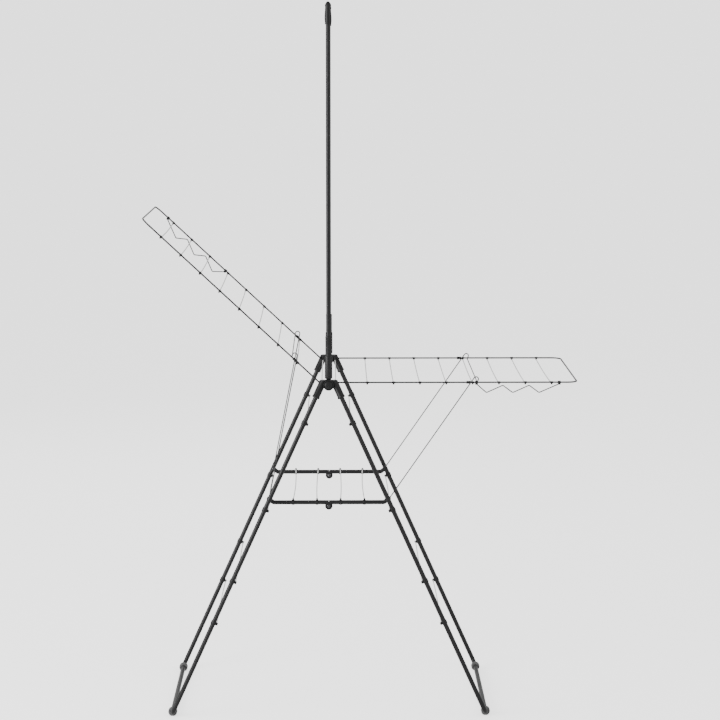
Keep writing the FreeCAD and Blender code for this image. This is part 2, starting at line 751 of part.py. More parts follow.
def main():
    """Build every piece and write one STEP file for each."""
    pieces = {}
    for side, place in ((FRONT, "front"), (REAR, "rear")):
        pieces[f"{place}_hub"] = make_hub(side)
        pieces[f"{place}_rod_collar"] = make_rod_collar(side)
        pieces[f"{place}_axle"] = make_axle(side)
        pieces[f"{place}_axle_cap"] = make_axle_cap(side)
        pieces[f"{place}_upright"] = make_upright(side)
        pieces[f"{place}_elbow"] = make_elbow(side)
    pieces["top_rod"] = make_top_rod()
    pieces["shelf_hinge_pins"] = make_hinge_pins()
    for hand, name, catch in (
        (LEFT, "left", CATCH_END_LEFT),
        (RIGHT, "right", CATCH_END_RIGHT),
    ):
        pieces[f"{name}_leg_frame"] = make_leg_frame(hand)
        pieces[f"{name}_feet"] = make_feet(hand)
        pieces[f"{name}_leg_clips"] = make_leg_clips(hand)
        pieces[f"{name}_leg_lines"] = make_leg_lines(hand)
        pieces[f"{name}_leg_pins"] = make_leg_pins(hand)
        pieces[f"{name}_shelf_clips"] = make_shelf_clips(hand)
        pieces[f"{name}_shelf_lines"] = make_shelf_lines(hand)
        pieces[f"{name}_stay"] = make_stay(hand)
        pieces[f"{name}_wing_frame"] = place_wing(make_wing_frame(), hand)
        pieces[f"{name}_wing_clips"] = place_wing(make_wing_clips(), hand)
        pieces[f"{name}_wing_lines"] = place_wing(make_wing_lines(), hand)
        pieces[f"{name}_hanger_wire"] = place_wing(make_hanger_wire(), hand)
        pieces[f"{name}_hanger_clips"] = place_wing(make_hanger_clips(), hand)
        pieces[f"{name}_stay_catches"] = place_wing(make_catches(catch), hand)
        for side, place in ((FRONT, "front"), (REAR, "rear")):
            pieces[f"{name}_{place}_knuckle"] = make_knuckle(hand, side)
            pieces[f"{name}_{place}_shelf_bar"] = make_shelf_bar(hand, side)

    os.makedirs("parts", exist_ok=True)
    for name, shape in pieces.items():
        shape.exportStep(f"parts/{name}.step")
        print(name, len(shape.Solids), round(shape.Volume), shape.isValid())


main()
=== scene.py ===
"""Looks of a folding clothes airer: bent tube, wire, moulded plastic and coated drying lines.

Everything is in metres. +Z is up, +X is towards the level wing, and the front faces -Y. Driving
sizes and places are read from the frame. Each sub-assembly is a class that holds its own detail
sizes.
"""
import json
import logging
import math
from dataclasses import dataclass
from enum import Enum
from typing import Callable, Optional, Sequence

import bpy
from mathutils import Matrix, Vector

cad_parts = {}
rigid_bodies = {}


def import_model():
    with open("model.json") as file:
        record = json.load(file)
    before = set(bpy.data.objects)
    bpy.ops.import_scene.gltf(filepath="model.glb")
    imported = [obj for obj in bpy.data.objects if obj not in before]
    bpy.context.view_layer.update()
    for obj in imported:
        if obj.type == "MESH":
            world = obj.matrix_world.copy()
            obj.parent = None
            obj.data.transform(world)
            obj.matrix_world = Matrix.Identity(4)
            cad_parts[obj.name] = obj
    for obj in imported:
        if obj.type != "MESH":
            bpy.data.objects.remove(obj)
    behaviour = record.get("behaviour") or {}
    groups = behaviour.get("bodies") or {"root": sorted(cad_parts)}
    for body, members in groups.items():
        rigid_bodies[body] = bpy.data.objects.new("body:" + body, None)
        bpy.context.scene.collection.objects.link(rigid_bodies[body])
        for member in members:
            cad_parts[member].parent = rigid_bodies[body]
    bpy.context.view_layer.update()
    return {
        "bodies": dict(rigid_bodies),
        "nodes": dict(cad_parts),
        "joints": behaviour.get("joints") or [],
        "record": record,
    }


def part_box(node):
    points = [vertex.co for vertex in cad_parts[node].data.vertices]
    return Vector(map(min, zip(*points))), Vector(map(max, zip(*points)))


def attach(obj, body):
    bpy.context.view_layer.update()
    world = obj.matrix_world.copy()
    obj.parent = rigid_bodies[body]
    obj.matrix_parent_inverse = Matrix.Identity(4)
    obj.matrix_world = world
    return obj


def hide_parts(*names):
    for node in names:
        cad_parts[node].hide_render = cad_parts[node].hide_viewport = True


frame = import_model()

logging.basicConfig(level=logging.INFO, format="%(message)s")
log = logging.getLogger("airer")

# A station is a pair of lengths, mostly a radius and a distance along an axis

Station = tuple[float, float]
Colour = tuple[float, float, float]


class Side(Enum):
    """Front or rear of the airer, with its direction along Y."""

    FRONT = -1
    REAR = 1

    @property
    def word(self) -> str:
        """The side's name in lower case."""
        return self.name.lower()


class Hand(Enum):
    """Left or right of the airer, with its direction along X."""

    LEFT = -1
    RIGHT = 1

    @property
    def word(self) -> str:
        """The hand's name in lower case."""
        return self.name.lower()


class Slot(Enum):
    """Material slots of the record."""

    TUBE = "painted_tube"
    WIRE = "coated_wire"
    PIN = "dark_steel_pin"
    PLASTIC = "black_plastic"
    RUBBER = "foot_rubber"
    LINE = "drying_line"


class Join(Enum):
    """How two solids are combined."""

    UNION = "UNION"
    CUT = "DIFFERENCE"


# Places and driving sizes


@dataclass(frozen=True)
class Measures:
    """Driving sizes and places of the airer, read from the frame at rest."""

    height: float
    leg_plane: float
    axle_height: float
    leg_angle: float
    tube_radius: float
    leg_offset: float
    leg_length: float
    wing_across: float
    wing_down: float
    wing_length: float
    wing_layer: float
    wing_raised: float
    rail_radius: float
    first_line: float
    line_pitch: float
    line_radius: float
    stay_down: float
    stay_layer: float
    wire_radius: float
    bar_layer: float
    bar_radius: float
    hinge_height: float

    @classmethod
    def from_frame(cls, packed: dict) -> "Measures":
        """Read the sizes from the joints and from the boxes of nodes.

        Args:
            packed: What the frame's loader returned.

        Returns:
            The measures, in metres and radians.
        """
        joints = {joint["name"]: joint for joint in packed["joints"]}
        angle = math.radians(joints["left_leg_fold"]["range_deg"][1])
        axle_height = joints["left_leg_fold"]["pos_m"][2]

        def along_leg(place: Sequence[float]) -> Station:
            """Turn a place in a leg's plane into its distances from the leg's axle.

            Args:
                place: The place, in the airer's frame.

            Returns:
                The distance across the leg and the distance down it.
            """
            x, z = abs(place[0]), place[2] - axle_height
            across = x * math.cos(angle) + z * math.sin(angle)
            return across, x * math.sin(angle) - z * math.cos(angle)

        upright_low, upright_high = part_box("front_upright")
        wing_low, wing_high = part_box("right_wing_frame")
        catch_low, catch_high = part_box("right_stay_catches")
        line_low, line_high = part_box("right_wing_lines")
        wire_low, wire_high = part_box("right_hanger_wire")
        bar_low, bar_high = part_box("right_rear_shelf_bar")
        wing_pivot = joints["right_wing_fold"]["pos_m"]
        tube_radius = (upright_high.x - upright_low.x) / 2
        rail_radius = (wing_high.z - wing_low.z) / 2
        line_radius = (line_high.z - line_low.z) / 2
        wire_radius = (wire_high.y - wire_low.y) / 2
        wing_across, wing_down = along_leg(wing_pivot)
        leg_offset, stay_down = along_leg(joints["right_stay_fold"]["pos_m"])
        wing_length = wing_high.x - rail_radius - wing_pivot[0]
        raised_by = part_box("left_wing_frame")[1].z - rail_radius - wing_pivot[2]
        rail_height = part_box("right_leg_frame")[0].z + tube_radius
        leg_drop = axle_height - rail_height + leg_offset * math.sin(angle)
        return cls(
            height=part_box("front_elbow")[1].z,
            leg_plane=-(upright_low.y + upright_high.y) / 2,
            axle_height=axle_height,
            leg_angle=angle,
            tube_radius=tube_radius,
            leg_offset=leg_offset,
            leg_length=leg_drop / math.cos(angle),
            wing_across=wing_across,
            wing_down=wing_down,
            wing_length=wing_length,
            wing_layer=catch_high.y - (catch_high.z - catch_low.z) / 2,
            wing_raised=math.asin(raised_by / wing_length),
            rail_radius=rail_radius,
            first_line=line_low.x + line_radius - wing_pivot[0],
            line_pitch=(line_high.x - line_low.x - 2 * line_radius) / (Wing.line_count - 1),
            line_radius=line_radius,
            stay_down=stay_down,
            stay_layer=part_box("right_stay")[1].y - wire_radius,
            wire_radius=wire_radius,
            bar_layer=(bar_low.y + bar_high.y) / 2,
            bar_radius=(bar_high.y - bar_low.y) / 2,
            hinge_height=joints["shelf_middle_fold"]["pos_m"][2],
        )

    def leg_matrix(self, hand: Hand) -> Matrix:
        """Where a leg's own directions lie: X outwards across the leg, Y to the rear, Z up the leg.

        Args:
            hand: The leg's side. The left leg is the right one mirrored.

        Returns:
            The matrix from the leg's own directions to the airer's.
        """
        mirror = Matrix.Scale(hand.value, 4, Vector((1, 0, 0)))
        lean = Matrix.Rotation(-self.leg_angle, 4, "Y")
        return mirror @ Matrix.Translation((0, 0, self.axle_height)) @ lean

    def on_leg(self, across: float, down: float, layer: float, hand: Hand) -> Vector:
        """A point given across and down a leg, from its axle."""
        return self.leg_matrix(hand) @ Vector((across, layer, -down))

    def wing_matrix(self, hand: Hand) -> Matrix:
        """Where a wing's own directions lie: X outwards from its pivot, Z up from the level wing.

        Args:
            hand: The wing's side.

        Returns:
            The matrix from the wing's own directions to the airer's.
        """
        pivot = self.on_leg(self.wing_across, self.wing_down, 0, hand)
        place = Matrix.Translation(pivot)
        if hand is Hand.RIGHT:
            return place
        raised = Matrix.Rotation(self.wing_raised, 4, "Y")
        return place @ raised @ Matrix.Rotation(math.pi, 4, "Z")


# Modelling steps


class Bench:
    """Modelling steps that the sub-assemblies share, each made with edit mode and modifiers."""

    bend_step = math.radians(9)
    smooth_below = math.radians(38)
    weld = 1e-6
    facing = 0.999
    edge_steps = 3
    trim_steps = 2
    least_bend_steps = 3
    line_sides = 12
    line_steps = 14

    @staticmethod
    def pick(piece: bpy.types.Object, *others: bpy.types.Object) -> None:
        """Select only these pieces, the first one active.

        Args:
            piece: The piece that becomes active.
            others: More pieces to select.
        """
        bpy.ops.object.select_all(action="DESELECT")
        for member in (piece, *others):
            member.select_set(True)
        bpy.context.view_layer.objects.active = piece

    @staticmethod
    def settle(piece: bpy.types.Object, name: str) -> bpy.types.Object:
        """Name a new primitive and put its place into its mesh.

        Args:
            piece: The primitive.
            name: Its name.

        Returns:
            The piece.
        """
        Bench.pick(piece)
        bpy.ops.object.transform_apply(location=True, rotation=True, scale=True)
        piece.name = name
        piece.data.name = name
        return piece

    @staticmethod
    def circle(
        name: str, radius: float, sides: int, centre: Vector, axis: Vector
    ) -> bpy.types.Object:
        """An open ring of edges, ready to be extruded.

        Args:
            name: The piece's name.
            radius: Radius of the ring.
            sides: Number of edges.
            centre: Its centre.
            axis: Its normal.

        Returns:
            The new piece, in edit mode, with the ring selected.
        """
        bpy.ops.object.select_all(action="DESELECT")
        bpy.ops.mesh.primitive_circle_add(
            vertices=sides, radius=radius, fill_type="NOTHING",
            location=centre, rotation=axis.to_track_quat("Z", "Y").to_euler(),
        )
        piece = Bench.settle(bpy.context.active_object, name)
        bpy.ops.object.mode_set(mode="EDIT")
        bpy.ops.mesh.select_all(action="SELECT")
        return piece

    @staticmethod
    def extrude(move: Vector) -> None:
        """Extrude what is selected in edit mode."""
        bpy.ops.mesh.extrude_region_move(TRANSFORM_OT_translate={"value": tuple(move)})

    @staticmethod
    def swell(factor: float, centre: Vector) -> None:
        """Scale what is selected in edit mode about a centre."""
        if abs(factor - 1) > Bench.weld:
            bpy.ops.transform.resize(value=(factor, factor, factor), center_override=tuple(centre))

    @staticmethod
    def close_up(piece: bpy.types.Object) -> bpy.types.Object:
        """Weld a shape that is in edit mode, cap its open ends and turn its faces outwards.

        Args:
            piece: The piece.

        Returns:
            The closed piece, in object mode.
        """
        bpy.ops.mesh.select_all(action="SELECT")
        bpy.ops.mesh.remove_doubles(threshold=Bench.weld)
        bpy.ops.mesh.select_all(action="SELECT")
        bpy.ops.mesh.fill_holes(sides=0)
        bpy.ops.mesh.select_all(action="SELECT")
        bpy.ops.mesh.normals_make_consistent(inside=False)
        bpy.ops.object.mode_set(mode="OBJECT")
        return piece

    @staticmethod
    def drum(radius: float, start: float, end: float, edge: float) -> list[Station]:
        """The outline of a round piece whose two rims are rounded.

        Args:
            radius: Its radius.
            start: Where it starts along its axis.
            end: Where it ends.
            edge: Radius of its rounded rims.

        Returns:
            Stations, each a radius and a distance along the axis.
        """
        way = math.copysign(edge, end - start)
        turns = [math.radians(degrees) for degrees in (0, 30, 60, 90)]
        rise = [
            (radius - edge + edge * math.sin(turn), start + way * (1 - math.cos(turn)))
            for turn in turns
        ]
        return rise + [(size, start + end - along) for size, along in reversed(rise)]

    @staticmethod
    def collar(outer: float, inner: float, start: float, end: float, edge: float) -> list[Station]:
        """The outline of a ring with rounded outer rims, which ends where it starts."""
        rim = Bench.drum(outer, start, end, edge)
        return [(inner, start), *rim, (inner, end), (inner, start)]

    @staticmethod
    def turned(
        name: str, outline: Sequence[Station], base: Vector, axis: Vector, sides: int = 32
    ) -> bpy.types.Object:
        """A turned piece: a ring extruded and scaled from station to station.

        Args:
            name: The piece's name.
            outline: Stations, each a radius and a distance along the axis from the base.
            base: Where the distances start.
            axis: Direction of the axis.
            sides: Number of sides.

        Returns:
            The closed piece.
        """
        along_axis = axis.normalized()
        radius, along = outline[0]
        piece = Bench.circle(name, radius, sides, base + along_axis * along, along_axis)
        for next_radius, next_along in outline[1:]:
            Bench.extrude(along_axis * (next_along - along))
            Bench.swell(next_radius / radius, base + along_axis * next_along)
            radius, along = next_radius, next_along
        return Bench.close_up(piece)

    @staticmethod
    def bent(
        name: str, points: Sequence[Vector], radii: Sequence[float], radius: float, sides: int = 16,
        bore: Optional[tuple[float, float]] = None,
    ) -> bpy.types.Object:
        """A round bar bent as a tube bender does it: straight extrusions joined by spins.

        Args:
            name: The piece's name.
            points: The corners that its middle line would pass, and its two ends.
            radii: The bend's radius at each inner corner.
            radius: Radius of the bar.
            sides: Number of sides.
            bore: Radius and depth of the open bore at the start, for a cut tube end.

        Returns:
            The closed piece.
        """
        here = points[0]
        heading = (points[1] - here).normalized()
        if bore is None:
            piece = Bench.circle(name, radius, sides, here, heading)
        else:
            bore_radius, depth = bore
            piece = Bench.circle(name, bore_radius, sides, here + heading * depth, heading)
            Bench.extrude(heading * -depth)
            Bench.extrude(Vector((0, 0, 0)))
            Bench.swell(radius / bore_radius, here)
        for before, corner, after, bend in zip(points, points[1:], points[2:], radii):
            back = (before - corner).normalized()
            ahead = (after - corner).normalized()
            turn = math.pi - back.angle(ahead)
            reach = bend * math.tan(turn / 2)
            centre = corner + (back + ahead).normalized() * (bend / math.cos(turn / 2))
            run = corner + back * reach - here
            if run.length > Bench.weld:
                Bench.extrude(run)
            bpy.ops.mesh.spin(
                steps=max(Bench.least_bend_steps, math.ceil(turn / Bench.bend_step)),
                angle=-turn, center=tuple(centre), axis=tuple(ahead.cross(back)),
            )
            here = corner + ahead * reach
        Bench.extrude(points[-1] - here)
        return Bench.close_up(piece)

    @staticmethod
    def choose(piece: bpy.types.Object, wanted: Callable[[bpy.types.MeshPolygon], bool]) -> None:
        """Select some of a piece's faces, in edit mode and with faces as what is selected.

        Args:
            piece: The piece.
            wanted: Whether a face is selected.
        """
        Bench.pick(piece)
        bpy.ops.object.mode_set(mode="EDIT")
        bpy.ops.mesh.select_mode(type="FACE")
        bpy.ops.mesh.select_all(action="DESELECT")
        bpy.ops.object.mode_set(mode="OBJECT")
        for face in piece.data.polygons:
            face.select = wanted(face)
        bpy.ops.object.mode_set(mode="EDIT")

    @staticmethod
    def block(
        name: str, low: Sequence[float], high: Sequence[float], edge: float,
        taper: float = 1.0,
    ) -> bpy.types.Object:
        """A moulded block with rounded edges, whose lower end may be slimmer than its upper one.

        Args:
            name: The piece's name.
            low: Its lowest corner.
            high: Its highest corner.
            edge: Width of the rounded edges.
            taper: Size of the lower face over that of the upper one.

        Returns:
            The closed piece.
        """
        corner, far = Vector(low), Vector(high)
        centre = (corner + far) / 2
        bpy.ops.object.select_all(action="DESELECT")
        bpy.ops.mesh.primitive_cube_add(size=1.0, location=centre)
        piece = bpy.context.active_object
        piece.scale = far - corner
        Bench.settle(piece, name)
        Bench.choose(piece, lambda face: face.normal.z < -Bench.facing)
        bpy.ops.transform.resize(
            value=(taper, taper, 1.0), center_override=(centre.x, centre.y, corner.z)
        )
        bpy.ops.mesh.select_mode(type="VERT")
        bpy.ops.mesh.select_all(action="SELECT")
        bpy.ops.mesh.bevel(offset=edge, segments=Bench.edge_steps, affect="EDGES")
        return Bench.close_up(piece)

    @staticmethod
    def combine(
        piece: bpy.types.Object, join: Join, *tools: bpy.types.Object
    ) -> bpy.types.Object:
        """Add solids to a piece, or cut them out of it, and use them up.

        Args:
            piece: The piece.
            join: Whether the solids are added or cut out.
            tools: The solids.

        Returns:
            The piece.
        """
        for tool in tools:
            modifier = piece.modifiers.new(join.name.lower(), "BOOLEAN")
            modifier.operation = join.value
            modifier.solver = "EXACT"
            modifier.object = tool
            Bench.pick(piece)
            bpy.ops.object.modifier_apply(modifier=modifier.name)
            bpy.data.objects.remove(tool)
        return piece

    @staticmethod
    def trim(
        piece: bpy.types.Object, place: Vector, towards: Vector, edge: float = 0.0
    ) -> bpy.types.Object:
        """Cut a piece off at a plane, and close the cut.

        Args:
            piece: The piece.
            place: A point of the plane.
            towards: The side that is cut away.
            edge: Width of the rounding round the cut, if it has one.

        Returns:
            The piece.
        """
        Bench.pick(piece)
        bpy.ops.object.mode_set(mode="EDIT")
        bpy.ops.mesh.select_all(action="SELECT")
        bpy.ops.mesh.bisect(plane_co=place, plane_no=towards, use_fill=True, clear_outer=True)
        Bench.close_up(piece)
        if edge:
            Bench.choose(piece, lambda face: face.normal.dot(towards) > Bench.facing)
            bpy.ops.mesh.bevel(offset=edge, segments=Bench.trim_steps, affect="EDGES")
            bpy.ops.mesh.select_mode(type="VERT")
            Bench.close_up(piece)
        return piece

    @staticmethod
    def placed(piece: bpy.types.Object, matrix: Matrix) -> bpy.types.Object:
        """Move a piece's mesh, and turn its faces outwards again if it was mirrored.

        Args:
            piece: The piece.
            matrix: Where its mesh goes.

        Returns:
            The piece.
        """
        piece.data.transform(matrix)
        if matrix.determinant() < 0:
            piece.data.flip_normals()
        return piece

    @staticmethod
    def copied(piece: bpy.types.Object, matrix: Matrix) -> bpy.types.Object:
        """A copy of a piece with its own mesh, moved.

        Args:
            piece: The piece.
            matrix: Where the copy's mesh goes.

        Returns:
            The copy.
        """
        twin = piece.copy()
        twin.data = piece.data.copy()
        bpy.context.scene.collection.objects.link(twin)
        return Bench.placed(twin, matrix)

    @staticmethod
    def gathered(name: str, pieces: Sequence[bpy.types.Object]) -> bpy.types.Object:
        """Join separate solids into one piece.

        Args:
            name: The piece's name.
            pieces: The solids.

        Returns:
            The piece.
        """
        first, *others = pieces
        Bench.pick(first, *others)
        if others:
            bpy.ops.object.join()
        first.name = name
        first.data.name = name
        return first

    @staticmethod
    def smooth(piece: bpy.types.Object) -> None:
        """Shade a piece smooth, with its real edges sharp."""
        Bench.pick(piece)
        bpy.ops.object.shade_smooth_by_angle(angle=Bench.smooth_below)

    @staticmethod
    def slack_line(
        name: str, start: Vector, end: Vector, radius: float, sag: Vector
    ) -> bpy.types.Object:
        """A drying line that hangs in a shallow arc between its two clips.

        Args:
            name: The piece's name.
            start: One end.
            end: The other end.
            radius: Radius of the line.
            sag: How far, and in which direction, its middle leaves the straight line.

        Returns:
            The closed piece.
        """
        chord = end - start
        bend = (chord.length_squared / 4 + sag.length_squared) / (2 * sag.length)
        centre = (start + end) / 2 + sag - sag.normalized() * bend
        spoke = start - centre
        axis = spoke.cross(end - centre).normalized()
        turn = spoke.angle(end - centre)
        heading = axis.cross(spoke).normalized()
        piece = Bench.circle(name, radius, Bench.line_sides, start, heading)
        bpy.ops.mesh.spin(
            steps=Bench.line_steps, angle=-turn, center=tuple(centre), axis=tuple(axis)
        )
        return Bench.close_up(piece)


# Finishes


class NodeDesk:
    """Adds and links nodes in one node tree."""

    def __init__(self, tree: bpy.types.NodeTree) -> None:
        """Start on a tree."""
        self.tree = tree

    def add(
        self, kind: str, inputs: Optional[dict] = None, **settings: object
    ) -> bpy.types.Node:
        """Add a node.

        Args:
            kind: Its type.
            inputs: Values or sockets for its inputs, by name or number.
            settings: Its own properties.

        Returns:
            The node.
        """
        node = self.tree.nodes.new(kind)
        for name, value in settings.items():
            setattr(node, name, value)
        for key, value in (inputs or {}).items():
            if isinstance(value, bpy.types.NodeSocket):
                self.tree.links.new(value, node.inputs[key])
            else:
                node.inputs[key].default_value = value
        return node

    def place(self) -> bpy.types.NodeSocket:
        """The place on the piece, in the airer's frame."""
        return self.add("ShaderNodeTexCoord").outputs["Object"]

    def ramp(
        self, value: bpy.types.NodeSocket, low: float, high: float, start: float, end: float
    ) -> bpy.types.NodeSocket:
        """A value that follows another one between two limits.

        Args:
            value: The input.
            low: The result where the input is at its start or before it.
            high: The result where the input is at its end or past it.
            start: Start of the input's range.
            end: End of the input's range.

        Returns:
            The result.
        """
        return self.add(
            "ShaderNodeMapRange",
            {"Value": value, "From Min": start, "From Max": end, "To Min": low, "To Max": high},
        ).outputs["Result"]

    def maths(self, operation: str, *values: object) -> bpy.types.NodeSocket:
        """The result of one arithmetic step."""
        node = self.add("ShaderNodeMath", dict(enumerate(values)), operation=operation)
        return node.outputs["Value"]

    def blend(
        self, share: bpy.types.NodeSocket, first: object, second: object
    ) -> bpy.types.NodeSocket:
        """A colour between two colours.

        Args:
            share: How much of the second colour it has.
            first: The first colour, or a socket.
            second: The second colour, or a socket.

        Returns:
            The colour.
        """
        node = self.add("ShaderNodeMix", data_type="RGBA")
        for key, value in (("Factor_Float", share), ("A_Color", first), ("B_Color", second)):
            socket = next(s for s in node.inputs if s.identifier == key)
            if isinstance(value, bpy.types.NodeSocket):
                self.tree.links.new(value, socket)
            else:
                socket.default_value = (*value, 1.0)
        return next(s for s in node.outputs if s.identifier == "Result_Color")


class Effects:
    """Surface effects that several finishes share, each a node group built once."""

    fine_share = 0.3
    dome_reach = 0.7
    edge_range = (0.515, 0.58)
    break_range = (0.45, 0.62)
    upward_range = (0.35, 0.95)
    patch_range = (0.4, 0.7)
    least_patch = 0.25
    middle = 0.5

    def __init__(self) -> None:
        """Build the groups."""
        self.grain = self.build_grain()
        self.wear = self.build_wear()
        self.dust = self.build_dust()
        self.handling = self.build_handling()

    @staticmethod
    def group(
        name: str, inputs: dict[str, float], outputs: Sequence[str]
    ) -> tuple[bpy.types.NodeTree, NodeDesk, bpy.types.Node, bpy.types.Node]:
        """An empty node group with float sockets.

        Args:
            name: Its name.
            inputs: Names of its inputs, with what they are unless set.
            outputs: Names of its outputs.

        Returns:
            The tree, its desk, and its input and output nodes.
        """
        tree = bpy.data.node_groups.new(name, "ShaderNodeTree")
        for label, value in inputs.items():
            socket = tree.interface.new_socket(label, in_out="INPUT", socket_type="NodeSocketFloat")
            socket.default_value = value
        for label in outputs:
            tree.interface.new_socket(label, in_out="OUTPUT", socket_type="NodeSocketFloat")
        desk = NodeDesk(tree)
        return tree, desk, desk.add("NodeGroupInput"), desk.add("NodeGroupOutput")

    def build_grain(self) -> bpy.types.NodeTree:
        """Fine relief: the orange peel of powder coat, or the spark-eroded grain of a mould.

        Returns:
            The group, with the relief's height and a mask of its domes.
        """
        tree, desk, given, result = self.group(
            "surface_grain", {"Scale": 900.0, "Fineness": 4.0}, ("Height", "Mask")
        )
        place = desk.place()
        cells = desk.add(
            "ShaderNodeTexVoronoi", {"Vector": place, "Scale": given.outputs["Scale"]},
            feature="SMOOTH_F1",
        )
        fine_scale = desk.maths("MULTIPLY", given.outputs["Scale"], given.outputs["Fineness"])
        fine = desk.add(
            "ShaderNodeTexNoise", {"Vector": place, "Scale": fine_scale, "Detail": 3.0}
        )
        domes = desk.ramp(cells.outputs["Distance"], 1.0, 0.0, 0.0, self.dome_reach)
        height = desk.maths("MULTIPLY_ADD", fine.outputs["Fac"], self.fine_share, domes)
        desk.tree.links.new(height, result.inputs["Height"])
        desk.tree.links.new(domes, result.inputs["Mask"])
        return tree

    def build_wear(self) -> bpy.types.NodeTree:
        """Rubbed edges: a mask that is strong on convex edges and broken up by noise.

        Returns:
            The group, with the mask.
        """
        tree, desk, given, result = self.group(
            "edge_wear", {"Amount": 0.5, "Break Scale": 260.0}, ("Mask",)
        )
        pointed = desk.add("ShaderNodeNewGeometry").outputs["Pointiness"]
        edge = desk.ramp(pointed, 0, 1, *self.edge_range)
        broken = desk.add(
            "ShaderNodeTexNoise",
            {"Vector": desk.place(), "Scale": given.outputs["Break Scale"], "Detail": 5.0},
        )
        patches = desk.ramp(broken.outputs["Fac"], 0, 1, *self.break_range)
        worn = desk.maths("MULTIPLY", edge, patches)
        mask = desk.maths("MULTIPLY", worn, given.outputs["Amount"])
        desk.tree.links.new(mask, result.inputs["Mask"])
        return tree

    def build_dust(self) -> bpy.types.NodeTree:
        """Settled dust: a thin patchy film on what faces up.

        Returns:
            The group, with the mask.
        """
        tree, desk, given, result = self.group(
            "settled_dust", {"Amount": 0.2, "Patch Scale": 45.0}, ("Mask",)
        )
        facing = desk.add(
            "ShaderNodeSeparateXYZ", {"Vector": desk.add("ShaderNodeNewGeometry").outputs["Normal"]}
        )
        upward = desk.ramp(facing.outputs["Z"], 0, 1, *self.upward_range)
        patch = desk.add(
            "ShaderNodeTexNoise",
            {"Vector": desk.place(), "Scale": given.outputs["Patch Scale"], "Detail": 6.0},
        )
        patches = desk.ramp(patch.outputs["Fac"], self.least_patch, 1, *self.patch_range)
        settled = desk.maths("MULTIPLY", upward, patches)
        mask = desk.maths("MULTIPLY", settled, given.outputs["Amount"])
        desk.tree.links.new(mask, result.inputs["Mask"])
        return tree

    def build_handling(self) -> bpy.types.NodeTree:
        """Handling marks: slow changes of gloss where hands and cloth have rubbed.

        Returns:
            The group, with what is added to the roughness.
        """
        tree, desk, given, result = self.group(
            "handling_marks", {"Spread": 0.1, "Scale": 18.0}, ("Offset",)
        )
        cloud = desk.add(
            "ShaderNodeTexNoise",
            {"Vector": desk.place(), "Scale": given.outputs["Scale"], "Detail": 8.0,
             "Roughness": 0.6, "Distortion": 0.4},
        )
        centred = desk.maths("SUBTRACT", cloud.outputs["Fac"], self.middle)
        offset = desk.maths("MULTIPLY", centred, given.outputs["Spread"])
        desk.tree.links.new(offset, result.inputs["Offset"])
        return tree


@dataclass(frozen=True)
class Finish:
    """A surface finish: its colours, its gloss, and how strong each shared effect is."""

    name: str
    slot: Slot
    colour: Colour
    tint: Colour
    worn: Colour
    roughness: float
    specular: float
    grain_scale: float
    grain_depth: float
    grain_shade: float = 0.25
    gloss_spread: float = 0.12
    wear: float = 0.4
    dust: float = 0.12
    metallic: float = 0.0
    dust_colour: Colour = (0.34, 0.33, 0.31)
    dust_dulling: float = 0.5

    def relief(self, desk: NodeDesk, grain: bpy.types.Node) -> bpy.types.NodeSocket:
        """The height that the finish's bump follows, by default its grain alone."""
        return grain.outputs["Height"]

    def material(self, effects: Effects) -> bpy.types.Material:
        """Build the finish as a material.

        Args:
            effects: The shared node groups.

        Returns:
            The material.
        """
        made = bpy.data.materials.new(self.name)
        made.use_nodes = True
        made.node_tree.nodes.clear()
        desk = NodeDesk(made.node_tree)
        grain = desk.add("ShaderNodeGroup", {}, node_tree=effects.grain)
        grain.inputs["Scale"].default_value = self.grain_scale
        wear = desk.add("ShaderNodeGroup", {}, node_tree=effects.wear)
        wear.inputs["Amount"].default_value = self.wear
        dust = desk.add("ShaderNodeGroup", {}, node_tree=effects.dust)
        dust.inputs["Amount"].default_value = self.dust
        marks = desk.add("ShaderNodeGroup", {}, node_tree=effects.handling)
        marks.inputs["Spread"].default_value = self.gloss_spread
        shade = desk.maths("MULTIPLY", grain.outputs["Mask"], self.grain_shade)
        base = desk.blend(shade, self.colour, self.tint)
        rubbed = desk.blend(wear.outputs["Mask"], base, self.worn)
        dusty = desk.blend(dust.outputs["Mask"], rubbed, self.dust_colour)
        gloss = desk.maths("ADD", marks.outputs["Offset"], self.roughness)
        dull = desk.maths("MULTIPLY_ADD", dust.outputs["Mask"], self.dust_dulling, gloss)
        bump = desk.add(
            "ShaderNodeBump",
            {"Height": self.relief(desk, grain), "Distance": self.grain_depth, "Strength": 1.0},
        )
        shader = desk.add(
            "ShaderNodeBsdfPrincipled",
            {"Base Color": dusty, "Roughness": dull, "Normal": bump.outputs["Normal"],
             "Metallic": self.metallic, "Specular IOR Level": self.specular},
        )
        desk.add("ShaderNodeOutputMaterial", {"Surface": shader.outputs["BSDF"]})
        return made


@dataclass(frozen=True)
class LineCoating(Finish):
    """The soft plastic coating of a drying line, through which its twisted core shows."""

    lay_scale: float = 210.0
    lay_share: float = 0.8

    def relief(self, desk: NodeDesk, grain: bpy.types.Node) -> bpy.types.NodeSocket:
        """The twisted core's slanting ridges, with a little grain on them.

        Args:
            desk: The desk of the material's tree.
            grain: The grain group's node.

        Returns:
            The height.
        """
        twist = desk.add(
            "ShaderNodeTexWave",
            {"Vector": desk.place(), "Scale": self.lay_scale, "Distortion": 0.6},
            wave_type="BANDS", bands_direction="DIAGONAL",
        )
        return desk.maths(
            "MULTIPLY_ADD", twist.outputs["Fac"], self.lay_share, grain.outputs["Height"]
        )


